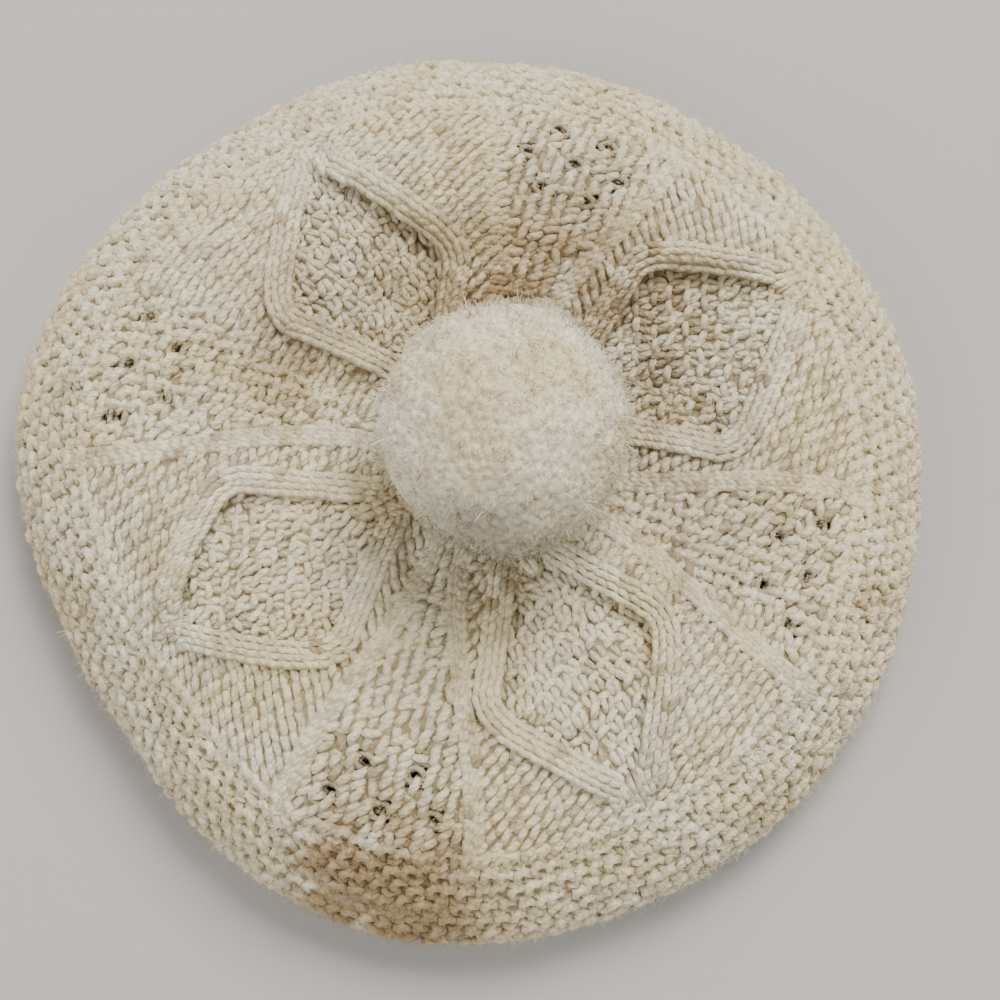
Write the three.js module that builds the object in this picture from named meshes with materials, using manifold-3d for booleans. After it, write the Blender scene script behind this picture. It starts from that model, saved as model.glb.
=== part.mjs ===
// Hand-knitted tam o'shanter with a pompom, lying crown up on a table.
// Millimetres, +Z up, the table at height 0. Angles are degrees, counterclockwise from +X seen from above.
import * as THREE from "three";
import { mergeVertices } from "three/addons/utils/BufferGeometryUtils.js";
import Module from "manifold-3d";

const wasm = await Module();
wasm.setup();

// Driving dimensions
const WALL = 3.2;
const GAP = 0.35;
const RIM_RADIUS = 135;
const RIM_HEIGHT = 14;
const SHOULDER_HEIGHT = 44;
const DISH_DEPTH = 8.5;
const CROWN_DRIFT = 5.5;
const HOLE_RADIUS = 3;

// Ribbed head band
const BAND_RADIUS = 69;
const BAND_WALL = 3;
const BAND_HEIGHT = 30;
const BAND_RIBS = 26;
const BAND_RIB_DEPTH = 0.8;

// Raised knitting on the crown
const STRAND_WIDTH = 9;
const STRAND_HEIGHT = 2.8;
const STRAND_CREST = 0.55;
const STRAND_INNER = 22;
const STRAND_FADE = 7;
const TURN_ROUNDING = 0.16;
const RIB_WIDTH = 5.5;
const RIB_HEIGHT = 1.5;
const RIB_INNER = { radius: 34, across: 4.5 };
const RIB_OUTER = { radius: 114, across: 29 };

// Eyelets of the lace gussets
const EYELET_RADIUS = 1.5;
const EYELET_SIDES = 6;
const EYELET_DEPTH = 14;
const EYELET_SLOPE = { from: 76, to: 120, most: 32 };

// Pompom and its tie
const POMPOM_RADIUS = 36;
const POMPOM_CORE = 30;
const POMPOM_LEAN = { x: 10, y: 6.5 };
const POMPOM_SINK = 5;
const POMPOM_LOCKS = 52;
const LOCK_SIDES = 5;
const LOCK_ROOT = 16;
const LOCK_SWELL = 1.05;
const TIE_RADIUS = 1.6;
const TIE_DEPTH = 7;
const KNOT_RADIUS = 4.5;
const KNOT_HEIGHT = 4;

// Mesh fineness
const CROWN_LINING_STEP = 4;
const RIM_LINING_STEP = 3;
const UNDERSIDE_LINING_STEP = 2;
const UNDERSIDE_COLUMNS = 48;
const GOLDEN_ANGLE = Math.PI * (3 - Math.sqrt(5));

const SEAM_RADIUS = BAND_RADIUS + BAND_WALL / 2 + BAND_RIB_DEPTH + GAP;
const GATHER_HEIGHT = SHOULDER_HEIGHT - DISH_DEPTH;

// Sections of the knitted wall's outer face, from the gathered centre over the rim to the seam of the band.
// drift is how far a section's centre lies toward +Y. rings is how many rings lead on to the next section.
// The rest dips under the table and is flattened on it.
const WALL_SECTIONS = [
  { at: "gather", radius: HOLE_RADIUS, height: GATHER_HEIGHT, drift: CROWN_DRIFT, rings: 3 },
  { at: "dish", radius: 26, height: GATHER_HEIGHT + 0.8, drift: CROWN_DRIFT, rings: 4 },
  { at: "rise", radius: 51, height: SHOULDER_HEIGHT - 2.6, drift: CROWN_DRIFT * 0.95, rings: 4 },
  { at: "shoulder", radius: 76, height: SHOULDER_HEIGHT, drift: CROWN_DRIFT * 0.85, rings: 4 },
  { at: "slope", radius: 104, height: SHOULDER_HEIGHT - 5.5, drift: CROWN_DRIFT * 0.6, rings: 3 },
  { at: "rim_top", radius: 125, height: SHOULDER_HEIGHT - 16.5, drift: CROWN_DRIFT * 0.2, rings: 3 },
  { at: "rim", radius: RIM_RADIUS, height: RIM_HEIGHT, drift: 0, rings: 3 },
  { at: "rim_under", radius: 130.5, height: 3.2, drift: 0, rings: 2 },
  { at: "rest_outer", radius: 122.5, height: -0.4, drift: 0, rings: 1 },
  { at: "rest_inner", radius: 112.5, height: -0.4, drift: 0, rings: 2 },
  { at: "under", radius: 95, height: 9.5, drift: 0, rings: 2 },
  { at: "seam", radius: SEAM_RADIUS, height: 27, drift: 0, rings: 0 },
];

// Sections at which the rim and the underside start.
const RIM_START = "rim_top";
const UNDERSIDE_START = "rim_under";

// Slow waves of the rim's outline: how many lobes, how far they swing out, and where the first one points.
const RIM_WAVES = [
  { lobes: 2, swing: 1.8, toward: -30 },
  { lobes: 3, swing: 2.3, toward: 35 },
  { lobes: 4, swing: 1.5, toward: -12 },
  { lobes: 5, swing: 1.3, toward: 28 },
];
const WAVE_FROM = 74;
const WAVE_FULL = 125;

// Diamond panels: the axis, the outer point's radius, and for the counterclockwise and the clockwise strand
// the radius where it turns back and how far it lies off the axis there. sink is the dent between them.
const DIAMONDS = [
  { axis: 29.5, outer: 111, ccwTurn: 77, ccwAcross: 27.5, cwTurn: 76, cwAcross: 37, sink: 3.6 },
  { axis: 118.5, outer: 107, ccwTurn: 71, ccwAcross: 31.5, cwTurn: 62, cwAcross: 26, sink: 3.6 },
  { axis: 208.5, outer: 107, ccwTurn: 70, ccwAcross: 33, cwTurn: 73, cwAcross: 28.5, sink: 1.6 },
  { axis: 296.5, outer: 109, ccwTurn: 73, ccwAcross: 29, cwTurn: 75, cwAcross: 31, sink: 1.6 },
];

// Lace gussets between the diamonds, the first one before the first diamond.
// eyeletShift moves the holes outward.
const GUSSETS = [
  { axis: -19, eyeletShift: 8 },
  { axis: 71.5, eyeletShift: 0 },
  { axis: 164, eyeletShift: 8 },
  { axis: 255, eyeletShift: 9 },
];
const GUSSET_SINK = 0.8;

// Rows of eyelets in a gusset, staggered as the lace repeats.
const EYELET_ROWS = [
  { radius: 84, count: 2, pitch: 9 },
  { radius: 95, count: 3, pitch: 8.5 },
  { radius: 106, count: 2, pitch: 8.5 },
];

// Outline of one lock of the pompom: share of its length from the pompom's centre, and share of its swell.
const LOCK_SECTIONS = [
  { along: 0.72, swell: 1 },
  { along: 0.94, swell: 0.7 },
];

const radians = THREE.MathUtils.degToRad;
const degrees = THREE.MathUtils.radToDeg;
const { lerp, smoothstep } = THREE.MathUtils;

/** Joins a closed grid of rings into one geometry, each ring an array of points, wrapping both ways. */
function closedRings(rings) {
  const columns = rings[0].length;
  const positions = rings.flat().flatMap((point) => [point.x, point.y, point.z]);
  const index = [];
  rings.forEach((ring, row) => {
    const nextRow = (row + 1) % rings.length;
    ring.forEach((point, column) => {
      const nextColumn = (column + 1) % columns;
      const a = row * columns + column;
      const b = row * columns + nextColumn;
      const c = nextRow * columns + nextColumn;
      const d = nextRow * columns + column;
      index.push(a, d, b, b, d, c);
    });
  });
  const geometry = new THREE.BufferGeometry();
  geometry.setAttribute("position", new THREE.Float32BufferAttribute(positions, 3));
  geometry.setIndex(index);
  return geometry;
}

/** Turns a closed geometry, placed by a matrix, into a solid that can be joined and cut. */
function solidOf(geometry, matrix = new THREE.Matrix4()) {
  const placed = geometry.clone().applyMatrix4(matrix);
  placed.deleteAttribute("normal");
  placed.deleteAttribute("uv");
  const merged = mergeVertices(placed, 1e-4);
  const mesh = new wasm.Mesh({
    numProp: 3,
    vertProperties: new Float32Array(merged.attributes.position.array),
    triVerts: new Uint32Array(merged.index.array),
  });
  return new wasm.Manifold(mesh);
}

/** Turns a joined or cut solid back into a geometry. */
function geometryOf(solid) {
  const mesh = solid.getMesh();
  const geometry = new THREE.BufferGeometry();
  geometry.setAttribute("position", new THREE.BufferAttribute(mesh.vertProperties, 3));
  geometry.setIndex(new THREE.BufferAttribute(mesh.triVerts, 1));
  return geometry;
}

/** The smaller of two shares, rounded where they cross. */
function roundedMin(first, second, rounding) {
  const overlap = Math.max(rounding - Math.abs(first - second), 0) / rounding;
  return Math.min(first, second) - (overlap * overlap * rounding) / 4;
}

/** Angle that a width across the radius takes up at that radius. */
function spreadAngle(across, radius) {
  return degrees(Math.asin(Math.min(across / radius, 0.99)));
}

/** How far a strand's middle lies off the diamond's axis at a radius. */
function strandAcross(radius, turn, across, outer) {
  const rising = (radius - STRAND_INNER) / (turn - STRAND_INNER);
  const falling = (outer - radius) / (outer - turn);
  const share = roundedMin(rising, falling, TURN_ROUNDING);
  return Math.max(across * share, STRAND_WIDTH * 0.55);
}

/** How far a gusset's rib lies off the gusset's axis at a radius. */
function ribAcross(radius) {
  const share = smoothstep(radius, RIB_INNER.radius, RIB_OUTER.radius);
  const straight = (radius - RIB_INNER.radius) / (RIB_OUTER.radius - RIB_INNER.radius);
  return lerp(RIB_INNER.across, RIB_OUTER.across, THREE.MathUtils.clamp((share + straight) / 2, 0, 1));
}

/** Signed turn from one angle to another, within half a turn. */
function turnBetween(from, to) {
  return THREE.MathUtils.euclideanModulo(to - from + 180, 360) - 180;
}

/** Depth of the dents between the strands and in the gussets, which move the whole wall. */
function sinkAt(radius, angle) {
  let depth = 0;
  DIAMONDS.forEach((diamond) => {
    const offset = turnBetween(diamond.axis, angle);
    const turn = offset > 0 ? diamond.ccwTurn : diamond.cwTurn;
    const across = offset > 0 ? diamond.ccwAcross : diamond.cwAcross;
    const reach = spreadAngle(strandAcross(radius, turn, across, diamond.outer), radius);
    const share = Math.abs(offset) / reach;
    const alongIn = smoothstep(radius, STRAND_INNER, turn * 0.8);
    const alongOut = 1 - smoothstep(radius, turn * 1.05, diamond.outer);
    depth += share < 1 ? diamond.sink * (1 - share ** 4) * alongIn * alongOut : 0;
  });
  GUSSETS.forEach((gusset) => {
    const reach = spreadAngle(ribAcross(radius), radius);
    const share = Math.abs(turnBetween(gusset.axis, angle)) / reach;
    const along = smoothstep(radius, 40, 70) * (1 - smoothstep(radius, 104, 122));
    depth += share < 1 ? GUSSET_SINK * (1 - share ** 4) * along : 0;
  });
  return depth;
}

/** How far the rim's waves carry a section outward. */
function waveAt(radius, angle) {
  const share = smoothstep(radius, WAVE_FROM, WAVE_FULL);
  const swing = RIM_WAVES.reduce(
    (sum, wave) => sum + wave.swing * Math.cos(radians(wave.lobes * (angle - wave.toward))),
    0,
  );
  return swing * share;
}

/** Angles and raised heights of the columns in one quarter, from a gusset's axis up to the next one's. */
function quarterColumns(radius, quarter) {
  const diamond = DIAMONDS[quarter];
  const from = GUSSETS[quarter].axis;
  const to = quarter + 1 < GUSSETS.length ? GUSSETS[quarter + 1].axis : GUSSETS[0].axis + 360;
  const rib = spreadAngle(ribAcross(radius), radius);
  const ribHalf = spreadAngle(RIB_WIDTH / 2, radius);
  const strandHalf = spreadAngle(STRAND_WIDTH / 2, radius);
  const ribFade = smoothstep(radius, 30, 44) * (1 - smoothstep(radius, 110, 122));
  const strandIn = smoothstep(radius, STRAND_INNER + 5, STRAND_INNER + 16);
  const strandOut = 1 - smoothstep(radius, diamond.outer - STRAND_FADE, diamond.outer + STRAND_FADE);
  const halfColumns = (gussetAxis, side, turn, across) => {
    const strandOff = spreadAngle(strandAcross(radius, turn, across, diamond.outer), radius);
    const strand = diamond.axis + side * strandOff;
    const ribAt = gussetAxis - side * rib;
    const ribHigh = RIB_HEIGHT * ribFade;
    const strandHigh = STRAND_HEIGHT * strandIn * strandOut;
    return [
      { angle: gussetAxis, raise: 0 },
      { angle: gussetAxis - side * Math.max(rib - ribHalf, 0) * 0.5, raise: 0 },
      { angle: ribAt + side * ribHalf, raise: 0 },
      { angle: ribAt, raise: ribHigh },
      { angle: ribAt - side * ribHalf, raise: 0 },
      { angle: (ribAt - side * ribHalf + strand + side * strandHalf) / 2, raise: 0 },
      { angle: strand + side * strandHalf, raise: 0 },
      { angle: strand + side * strandHalf * STRAND_CREST, raise: strandHigh },
      { angle: strand - side * strandHalf * STRAND_CREST, raise: strandHigh },
      { angle: strand - side * strandHalf, raise: 0 },
      { angle: diamond.axis, raise: 0 },
    ];
  };
  const clockwise = halfColumns(from, -1, diamond.cwTurn, diamond.cwAcross);
  const counterclockwise = halfColumns(to, 1, diamond.ccwTurn, diamond.ccwAcross).reverse().slice(1, -1);
  const fitted = [...clockwise, ...counterclockwise];
  const fit = smoothstep(radius, 20, 33) * (1 - smoothstep(radius, 112, 126));
  return fitted.map((column, place) => {
    const even = lerp(from, to, place / fitted.length);
    return { angle: lerp(even, column.angle, fit), raise: column.raise };
  });
}

/** The meridian of the knitted wall, through its sections. */
function wallMeridian() {
  const points = WALL_SECTIONS.map(({ radius, drift, height }) => new THREE.Vector3(radius, drift, height));
  return new THREE.CatmullRomCurve3(points, false, "centripetal");
}

/** Places along the meridian from one section to another, by the sections' ring counts. */
function wallPlaces(from, to) {
  const last = WALL_SECTIONS.length - 1;
  const places = [];
  for (let section = from; section < to; section += 1) {
    const { rings } = WALL_SECTIONS[section];
    for (let ring = 0; ring < rings; ring += 1) {
      places.push((section + ring / rings) / last);
    }
  }
  return [...places, to / last];
}

/** One ring of the wall: a point of the meridian carried round its columns, set in by a depth. */
function wallRing(meridian, place, columns, face) {
  const point = meridian.getPoint(place);
  const tangent = meridian.getTangent(place);
  const slope = Math.hypot(tangent.x, tangent.z);
  const normal = { radial: -tangent.z / slope, up: tangent.x / slope };
  const onTop = normal.up > 0;
  return columns.map((column) => {
    const angle = radians(column.angle);
    const sink = onTop ? sinkAt(point.x, column.angle) : 0;
    const raise = onTop && face.raised ? column.raise : 0;
    const offset = raise - sink - face.depth;
    const radius = point.x + waveAt(point.x, column.angle) + normal.radial * offset;
    const height = Math.max(point.z + normal.up * offset, face.floor);
    return new THREE.Vector3(radius * Math.cos(angle), radius * Math.sin(angle) + point.y, height);
  });
}

/** A stretch of the knitted wall as a closed solid: its outer face, and its lining at the wall's depth. */
function wallGeometry(places, liningStep, columnsAt) {
  const meridian = wallMeridian();
  const fabric = { raised: true, depth: 0, floor: 0 };
  const lining = { raised: false, depth: WALL, floor: WALL * 0.7 };
  const ring = (place, face) => wallRing(meridian, place, columnsAt(meridian.getPoint(place), place), face);
  const outside = places.map((place) => ring(place, fabric));
  const liningPlaces = places.filter((_, count) => count % liningStep === 0 || count === places.length - 1);
  const inside = liningPlaces.reverse().map((place) => ring(place, lining));
  return closedRings([...outside, ...inside]);
}

/** Row of the wall's sections that has a name. */
function sectionRow(name) {
  return WALL_SECTIONS.findIndex((section) => section.at === name);
}

/** Places from one section to another, the first set back by the gap that neighbouring pieces keep. */
function placesAfterGap(from, to) {
  const places = wallPlaces(from, to);
  const meridian = wallMeridian();
  const stretch = meridian.getPoint(places[0]).distanceTo(meridian.getPoint(places[1]));
  places[0] = lerp(places[0], places[1], GAP / stretch);
  return places;
}

/** The patterned crown, from the gathered centre out to the rim. */
function crownGeometry() {
  const columnsAt = (point) => GUSSETS.flatMap((_, quarter) => quarterColumns(point.x, quarter));
  return wallGeometry(wallPlaces(0, sectionRow(RIM_START)), CROWN_LINING_STEP, columnsAt);
}

/** The garter rim, from the crown's edge round the turn to where the underside starts. */
function rimGeometry() {
  const places = placesAfterGap(sectionRow(RIM_START), sectionRow(UNDERSIDE_START));
  const columns = GUSSETS.flatMap((_, quarter) => quarterColumns(RIM_RADIUS, quarter));
  return wallGeometry(places, RIM_LINING_STEP, () => columns);
}

/** The underside, from under the rim, flat where it rests, and up to the band. */
function undersideGeometry() {
  const places = placesAfterGap(sectionRow(UNDERSIDE_START), WALL_SECTIONS.length - 1);
  const columns = Array.from({ length: UNDERSIDE_COLUMNS }, (_, column) => ({
    angle: (360 * column) / UNDERSIDE_COLUMNS,
    raise: 0,
  }));
  return wallGeometry(places, UNDERSIDE_LINING_STEP, () => columns);
}

/** The eyelets of all four gussets as one cutting solid, each square to the crown's slope. */
function eyeletCutters() {
  const pin = new THREE.CylinderGeometry(EYELET_RADIUS, EYELET_RADIUS, EYELET_DEPTH, EYELET_SIDES);
  pin.rotateX(Math.PI / 2);
  const whole = new THREE.Vector3(1, 1, 1);
  const cutters = [];
  GUSSETS.forEach((gusset) => {
    EYELET_ROWS.forEach((row) => {
      for (let place = 0; place < row.count; place += 1) {
        const angle = radians(gusset.axis + row.pitch * (place - (row.count - 1) / 2));
        const radius = row.radius + gusset.eyeletShift;
        const outward = smoothstep(radius, EYELET_SLOPE.from, EYELET_SLOPE.to);
        const drift = CROWN_DRIFT * lerp(0.85, 0.4, outward);
        const height = SHOULDER_HEIGHT - lerp(1, 12, outward);
        const spot = new THREE.Vector3(radius * Math.cos(angle), radius * Math.sin(angle) + drift, height);
        const hinge = new THREE.Vector3(-Math.sin(angle), Math.cos(angle), 0);
        const tilt = new THREE.Quaternion().setFromAxisAngle(hinge, radians(EYELET_SLOPE.most * outward));
        cutters.push(solidOf(pin, new THREE.Matrix4().compose(spot, tilt, whole)));
      }
    });
  });
  return cutters.reduce((all, cutter) => all.add(cutter));
}

/** The ribbed head band, an upright knitted tube with pairs of raised and sunken columns. */
function bandGeometry() {
  const columns = BAND_RIBS * 4;
  const ring = (side, height) =>
    Array.from({ length: columns }, (_, column) => {
      const angle = (2 * Math.PI * column) / columns;
      const rib = column % 4 < 2 ? BAND_RIB_DEPTH : -BAND_RIB_DEPTH;
      const radius = BAND_RADIUS + rib + (side * BAND_WALL) / 2;
      return new THREE.Vector3(radius * Math.cos(angle), radius * Math.sin(angle), height);
    });
  return closedRings([ring(-1, 0), ring(-1, BAND_HEIGHT), ring(1, BAND_HEIGHT), ring(1, 0)]);
}

/** The pompom: locks of cut yarn fused to a round head, flat where it sits, with a socket for its tie. */
function pompomGeometry(centre, seat, tieX, tieY) {
  const core = new THREE.IcosahedronGeometry(POMPOM_CORE, 1);
  let body = solidOf(core);
  const swell = 2 * POMPOM_RADIUS * Math.sqrt(1 / POMPOM_LOCKS) * LOCK_SWELL;
  for (let lock = 0; lock < POMPOM_LOCKS; lock += 1) {
    const up = 1 - (2 * lock + 1) / POMPOM_LOCKS;
    const around = lock * GOLDEN_ANGLE;
    const level = Math.sqrt(1 - up * up);
    const direction = new THREE.Vector3(level * Math.cos(around), level * Math.sin(around), up);
    const length = POMPOM_RADIUS * (1 - 0.035 * (1 + Math.sin(lock * 2.4)));
    const outline = LOCK_SECTIONS.map((row) => new THREE.Vector2(swell * row.swell, length * row.along));
    const profile = [new THREE.Vector2(0, LOCK_ROOT), ...outline, new THREE.Vector2(0, length)];
    const shape = new THREE.LatheGeometry(profile, LOCK_SIDES);
    const turn = new THREE.Quaternion().setFromUnitVectors(new THREE.Vector3(0, 1, 0), direction);
    const placed = new THREE.Matrix4().makeRotationFromQuaternion(turn);
    body = body.add(solidOf(shape, placed));
  }
  const below = new THREE.BoxGeometry(4 * POMPOM_RADIUS, 4 * POMPOM_RADIUS, POMPOM_RADIUS);
  const cut = new THREE.Matrix4().makeTranslation(0, 0, seat - centre.z - POMPOM_RADIUS / 2);
  const socket = new THREE.CylinderGeometry(TIE_RADIUS + GAP, TIE_RADIUS + GAP, 2 * (TIE_DEPTH + GAP), 10);
  socket.rotateX(Math.PI / 2);
  const bore = new THREE.Matrix4().makeTranslation(tieX - centre.x, tieY - centre.y, seat - centre.z);
  return geometryOf(body.subtract(solidOf(below, cut)).subtract(solidOf(socket, bore)));
}

/** The yarn tie: a knot inside the crown and a stem up through the gather into the pompom. */
function tieGeometry(top, underside) {
  const knotTop = underside - GAP;
  const profile = [
    new THREE.Vector2(0, knotTop - KNOT_HEIGHT),
    new THREE.Vector2(KNOT_RADIUS * 0.7, knotTop - KNOT_HEIGHT),
    new THREE.Vector2(KNOT_RADIUS, knotTop - KNOT_HEIGHT / 2),
    new THREE.Vector2(KNOT_RADIUS * 0.7, knotTop),
    new THREE.Vector2(TIE_RADIUS, knotTop),
    new THREE.Vector2(TIE_RADIUS, top),
    new THREE.Vector2(0, top),
  ];
  const geometry = new THREE.LatheGeometry(profile, 10);
  geometry.rotateX(Math.PI / 2);
  return geometry;
}

/** A named piece with its own wool. */
function piece(name, geometry, color, roughness) {
  const material = new THREE.MeshStandardMaterial({ color, roughness, metalness: 0 });
  geometry.deleteAttribute("normal");
  geometry.deleteAttribute("uv");
  const closed = mergeVertices(geometry, 1e-4);
  closed.computeVertexNormals();
  const mesh = new THREE.Mesh(closed, material);
  mesh.name = name;
  return mesh;
}

const crownSolid = solidOf(crownGeometry()).subtract(eyeletCutters());
const crown = piece("crown", geometryOf(crownSolid), 0xe3d8bf, 0.95);
const rim = piece("rim", rimGeometry(), 0xe3d8bf, 0.95);
const underside = piece("underside", undersideGeometry(), 0xdfd3ba, 0.95);
const band = piece("band", bandGeometry(), 0xdcd0b6, 0.95);

// The pompom leans off the gather and sits just clear of the crown.
const seatHeight = GATHER_HEIGHT + 2.6;
const pompomCentre = new THREE.Vector3(
  POMPOM_LEAN.x,
  CROWN_DRIFT + POMPOM_LEAN.y,
  seatHeight + POMPOM_RADIUS - POMPOM_SINK,
);
const pompom = piece("pompom", pompomGeometry(pompomCentre, seatHeight, 0, CROWN_DRIFT), 0xece4d3, 1);
pompom.position.copy(pompomCentre);
const tie = piece("pompom_tie", tieGeometry(seatHeight + TIE_DEPTH, GATHER_HEIGHT - WALL), 0xe3d8bf, 1);
tie.position.set(0, CROWN_DRIFT, 0);

// The frame's origin is under the middle of the whole outline, on the table.
const tam = new THREE.Group();
tam.name = "tam_o_shanter";
tam.add(crown, rim, underside, band, pompom, tie);
const extent = new THREE.Box3().setFromObject(tam);
const middle = extent.getCenter(new THREE.Vector3());
tam.position.set(-middle.x, -middle.y, -extent.min.z);

export default tam;
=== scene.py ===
"""Dresses the knitted tam o'shanter: crown, underside and band stitch by stitch, and a pompom of cut yarn.

Sizes are millimetres and angles are degrees, counterclockwise from +X seen from above, except where a
docstring says otherwise. Meshes are made in metres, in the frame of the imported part.
"""

import enum
import logging
import math
from dataclasses import dataclass, field

import bpy
import numpy as np
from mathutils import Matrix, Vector

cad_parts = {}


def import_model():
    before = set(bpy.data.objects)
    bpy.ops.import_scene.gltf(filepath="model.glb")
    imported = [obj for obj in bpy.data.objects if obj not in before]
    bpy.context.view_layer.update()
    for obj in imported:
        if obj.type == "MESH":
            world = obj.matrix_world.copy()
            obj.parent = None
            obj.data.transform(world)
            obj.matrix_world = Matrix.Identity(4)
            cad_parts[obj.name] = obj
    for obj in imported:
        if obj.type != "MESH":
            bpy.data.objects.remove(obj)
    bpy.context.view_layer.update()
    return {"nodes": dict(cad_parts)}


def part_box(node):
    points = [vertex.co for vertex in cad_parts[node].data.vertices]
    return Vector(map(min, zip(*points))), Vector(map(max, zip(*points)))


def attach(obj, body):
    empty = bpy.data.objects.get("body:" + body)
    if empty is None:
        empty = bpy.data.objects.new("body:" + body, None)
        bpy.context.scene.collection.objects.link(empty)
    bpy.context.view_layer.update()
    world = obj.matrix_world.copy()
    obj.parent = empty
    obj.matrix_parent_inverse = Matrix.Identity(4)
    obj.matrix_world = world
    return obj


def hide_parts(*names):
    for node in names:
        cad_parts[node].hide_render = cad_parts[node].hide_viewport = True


LOG = logging.getLogger("tam")
MM = 0.001
BODY = "root"
UV_NAME = "yarn"
TONE_AND_SHADE_NAME = "tone"
PULL_DIRECTION = 62.0
# Painted shade on the yarn: its sides darker than its crest, and darker still where it dives into the
# fabric.
SIDE_SHADE = 0.72
SHADE_PER_LIFT = 0.35
DARKEST_TONE = 0.25
LIGHTEST_TONE = 1.15
UNEVEN_TONE = 0.13
BRIGHTEST_TONE = 1.4
FIBRE_ROOT = 0.5
FIBRE_TIP = 0.2
SIDES = (1, -1)
SEEN_YARN = 5
LOW_YARN = 4
HIDDEN_YARN = 3
CORE_YARN = 8

Array = np.ndarray
Colour = tuple[float, float, float]


def linear(red: int, green: int, blue: int) -> Colour:
    """Turns a display colour of 0 to 255 into the linear colour that a shader takes.

    Args:
        red: Red as shown on a screen.
        green: Green as shown on a screen.
        blue: Blue as shown on a screen.

    Returns:
        The three linear values, 0 to 1.
    """
    shares = (channel / 255 for channel in (red, green, blue))
    values = [share / 12.92 if share <= 0.04045 else ((share + 0.055) / 1.055) ** 2.4 for share in shares]
    return (values[0], values[1], values[2])


def smoothstep(value: Array, low: float, high: float) -> Array:
    """Eases from 0 at low to 1 at high."""
    share = np.clip((np.asarray(value, float) - low) / (high - low), 0.0, 1.0)
    return share * share * (3 - 2 * share)


def depth_shade(lift: Array, lightest: float = LIGHTEST_TONE) -> Array:
    """Painted shade on yarn at a lift in yarn radii: darker where it dives into the fabric."""
    return np.clip(1 + SHADE_PER_LIFT * lift, DARKEST_TONE, lightest)


@dataclass(frozen=True)
class Fade:
    """A stretch that eases in between its first two values and out between its last two."""

    start: float
    full: float
    waning: float
    end: float

    def at(self, value: Array) -> Array:
        """How far in a value lies, from 0 to 1."""
        return smoothstep(value, self.start, self.full) * (1 - smoothstep(value, self.waning, self.end))


@dataclass(frozen=True)
class Section:
    """A row of the wall's meridian: its radius, its height and how far its centre lies toward +Y."""

    radius: float
    height: float
    drift: float


@dataclass(frozen=True)
class RimWave:
    """A slow wave of the rim's outline: lobes, how far they swing out, and where the first one points."""

    lobes: int
    swing: float
    toward: float


@dataclass(frozen=True)
class Diamond:
    """A cable diamond: its axis, its outer point, where each strand turns back and the dent between."""

    axis: float
    outer: float
    ccw_turn: float
    ccw_across: float
    cw_turn: float
    cw_across: float
    sink: float

    def turn(self, side: int) -> float:
        """Radius at which the strand on a side, 1 or -1, turns back to the axis."""
        return self.ccw_turn if side > 0 else self.cw_turn

    def across(self, side: int) -> float:
        """How far the strand on a side lies off the axis where it turns back."""
        return self.ccw_across if side > 0 else self.cw_across


@dataclass(frozen=True)
class Gusset:
    """A lace gusset between two diamonds.

    eyelet_shift moves its eyelets outward, and plain_side, 1 or -1, is an edge with no raised rib.
    """

    axis: float
    eyelet_shift: float
    plain_side: int = 0


@dataclass(frozen=True)
class Hollow:
    """A place where the fabric has folded down: where it is, how far it reaches and how deep it lies."""

    radius: float
    angle: float
    reach: float
    depth: float


@dataclass(frozen=True)
class EyeletRow:
    """A row of eyelets in a gusset."""

    radius: float
    count: int
    pitch: float


@dataclass(frozen=True)
class YarnPoint:
    """A point of a loop, in shares of the stitch's width, of its row and of the yarn's radius."""

    across: float
    along: float
    lift: float
    girth: float


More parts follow.
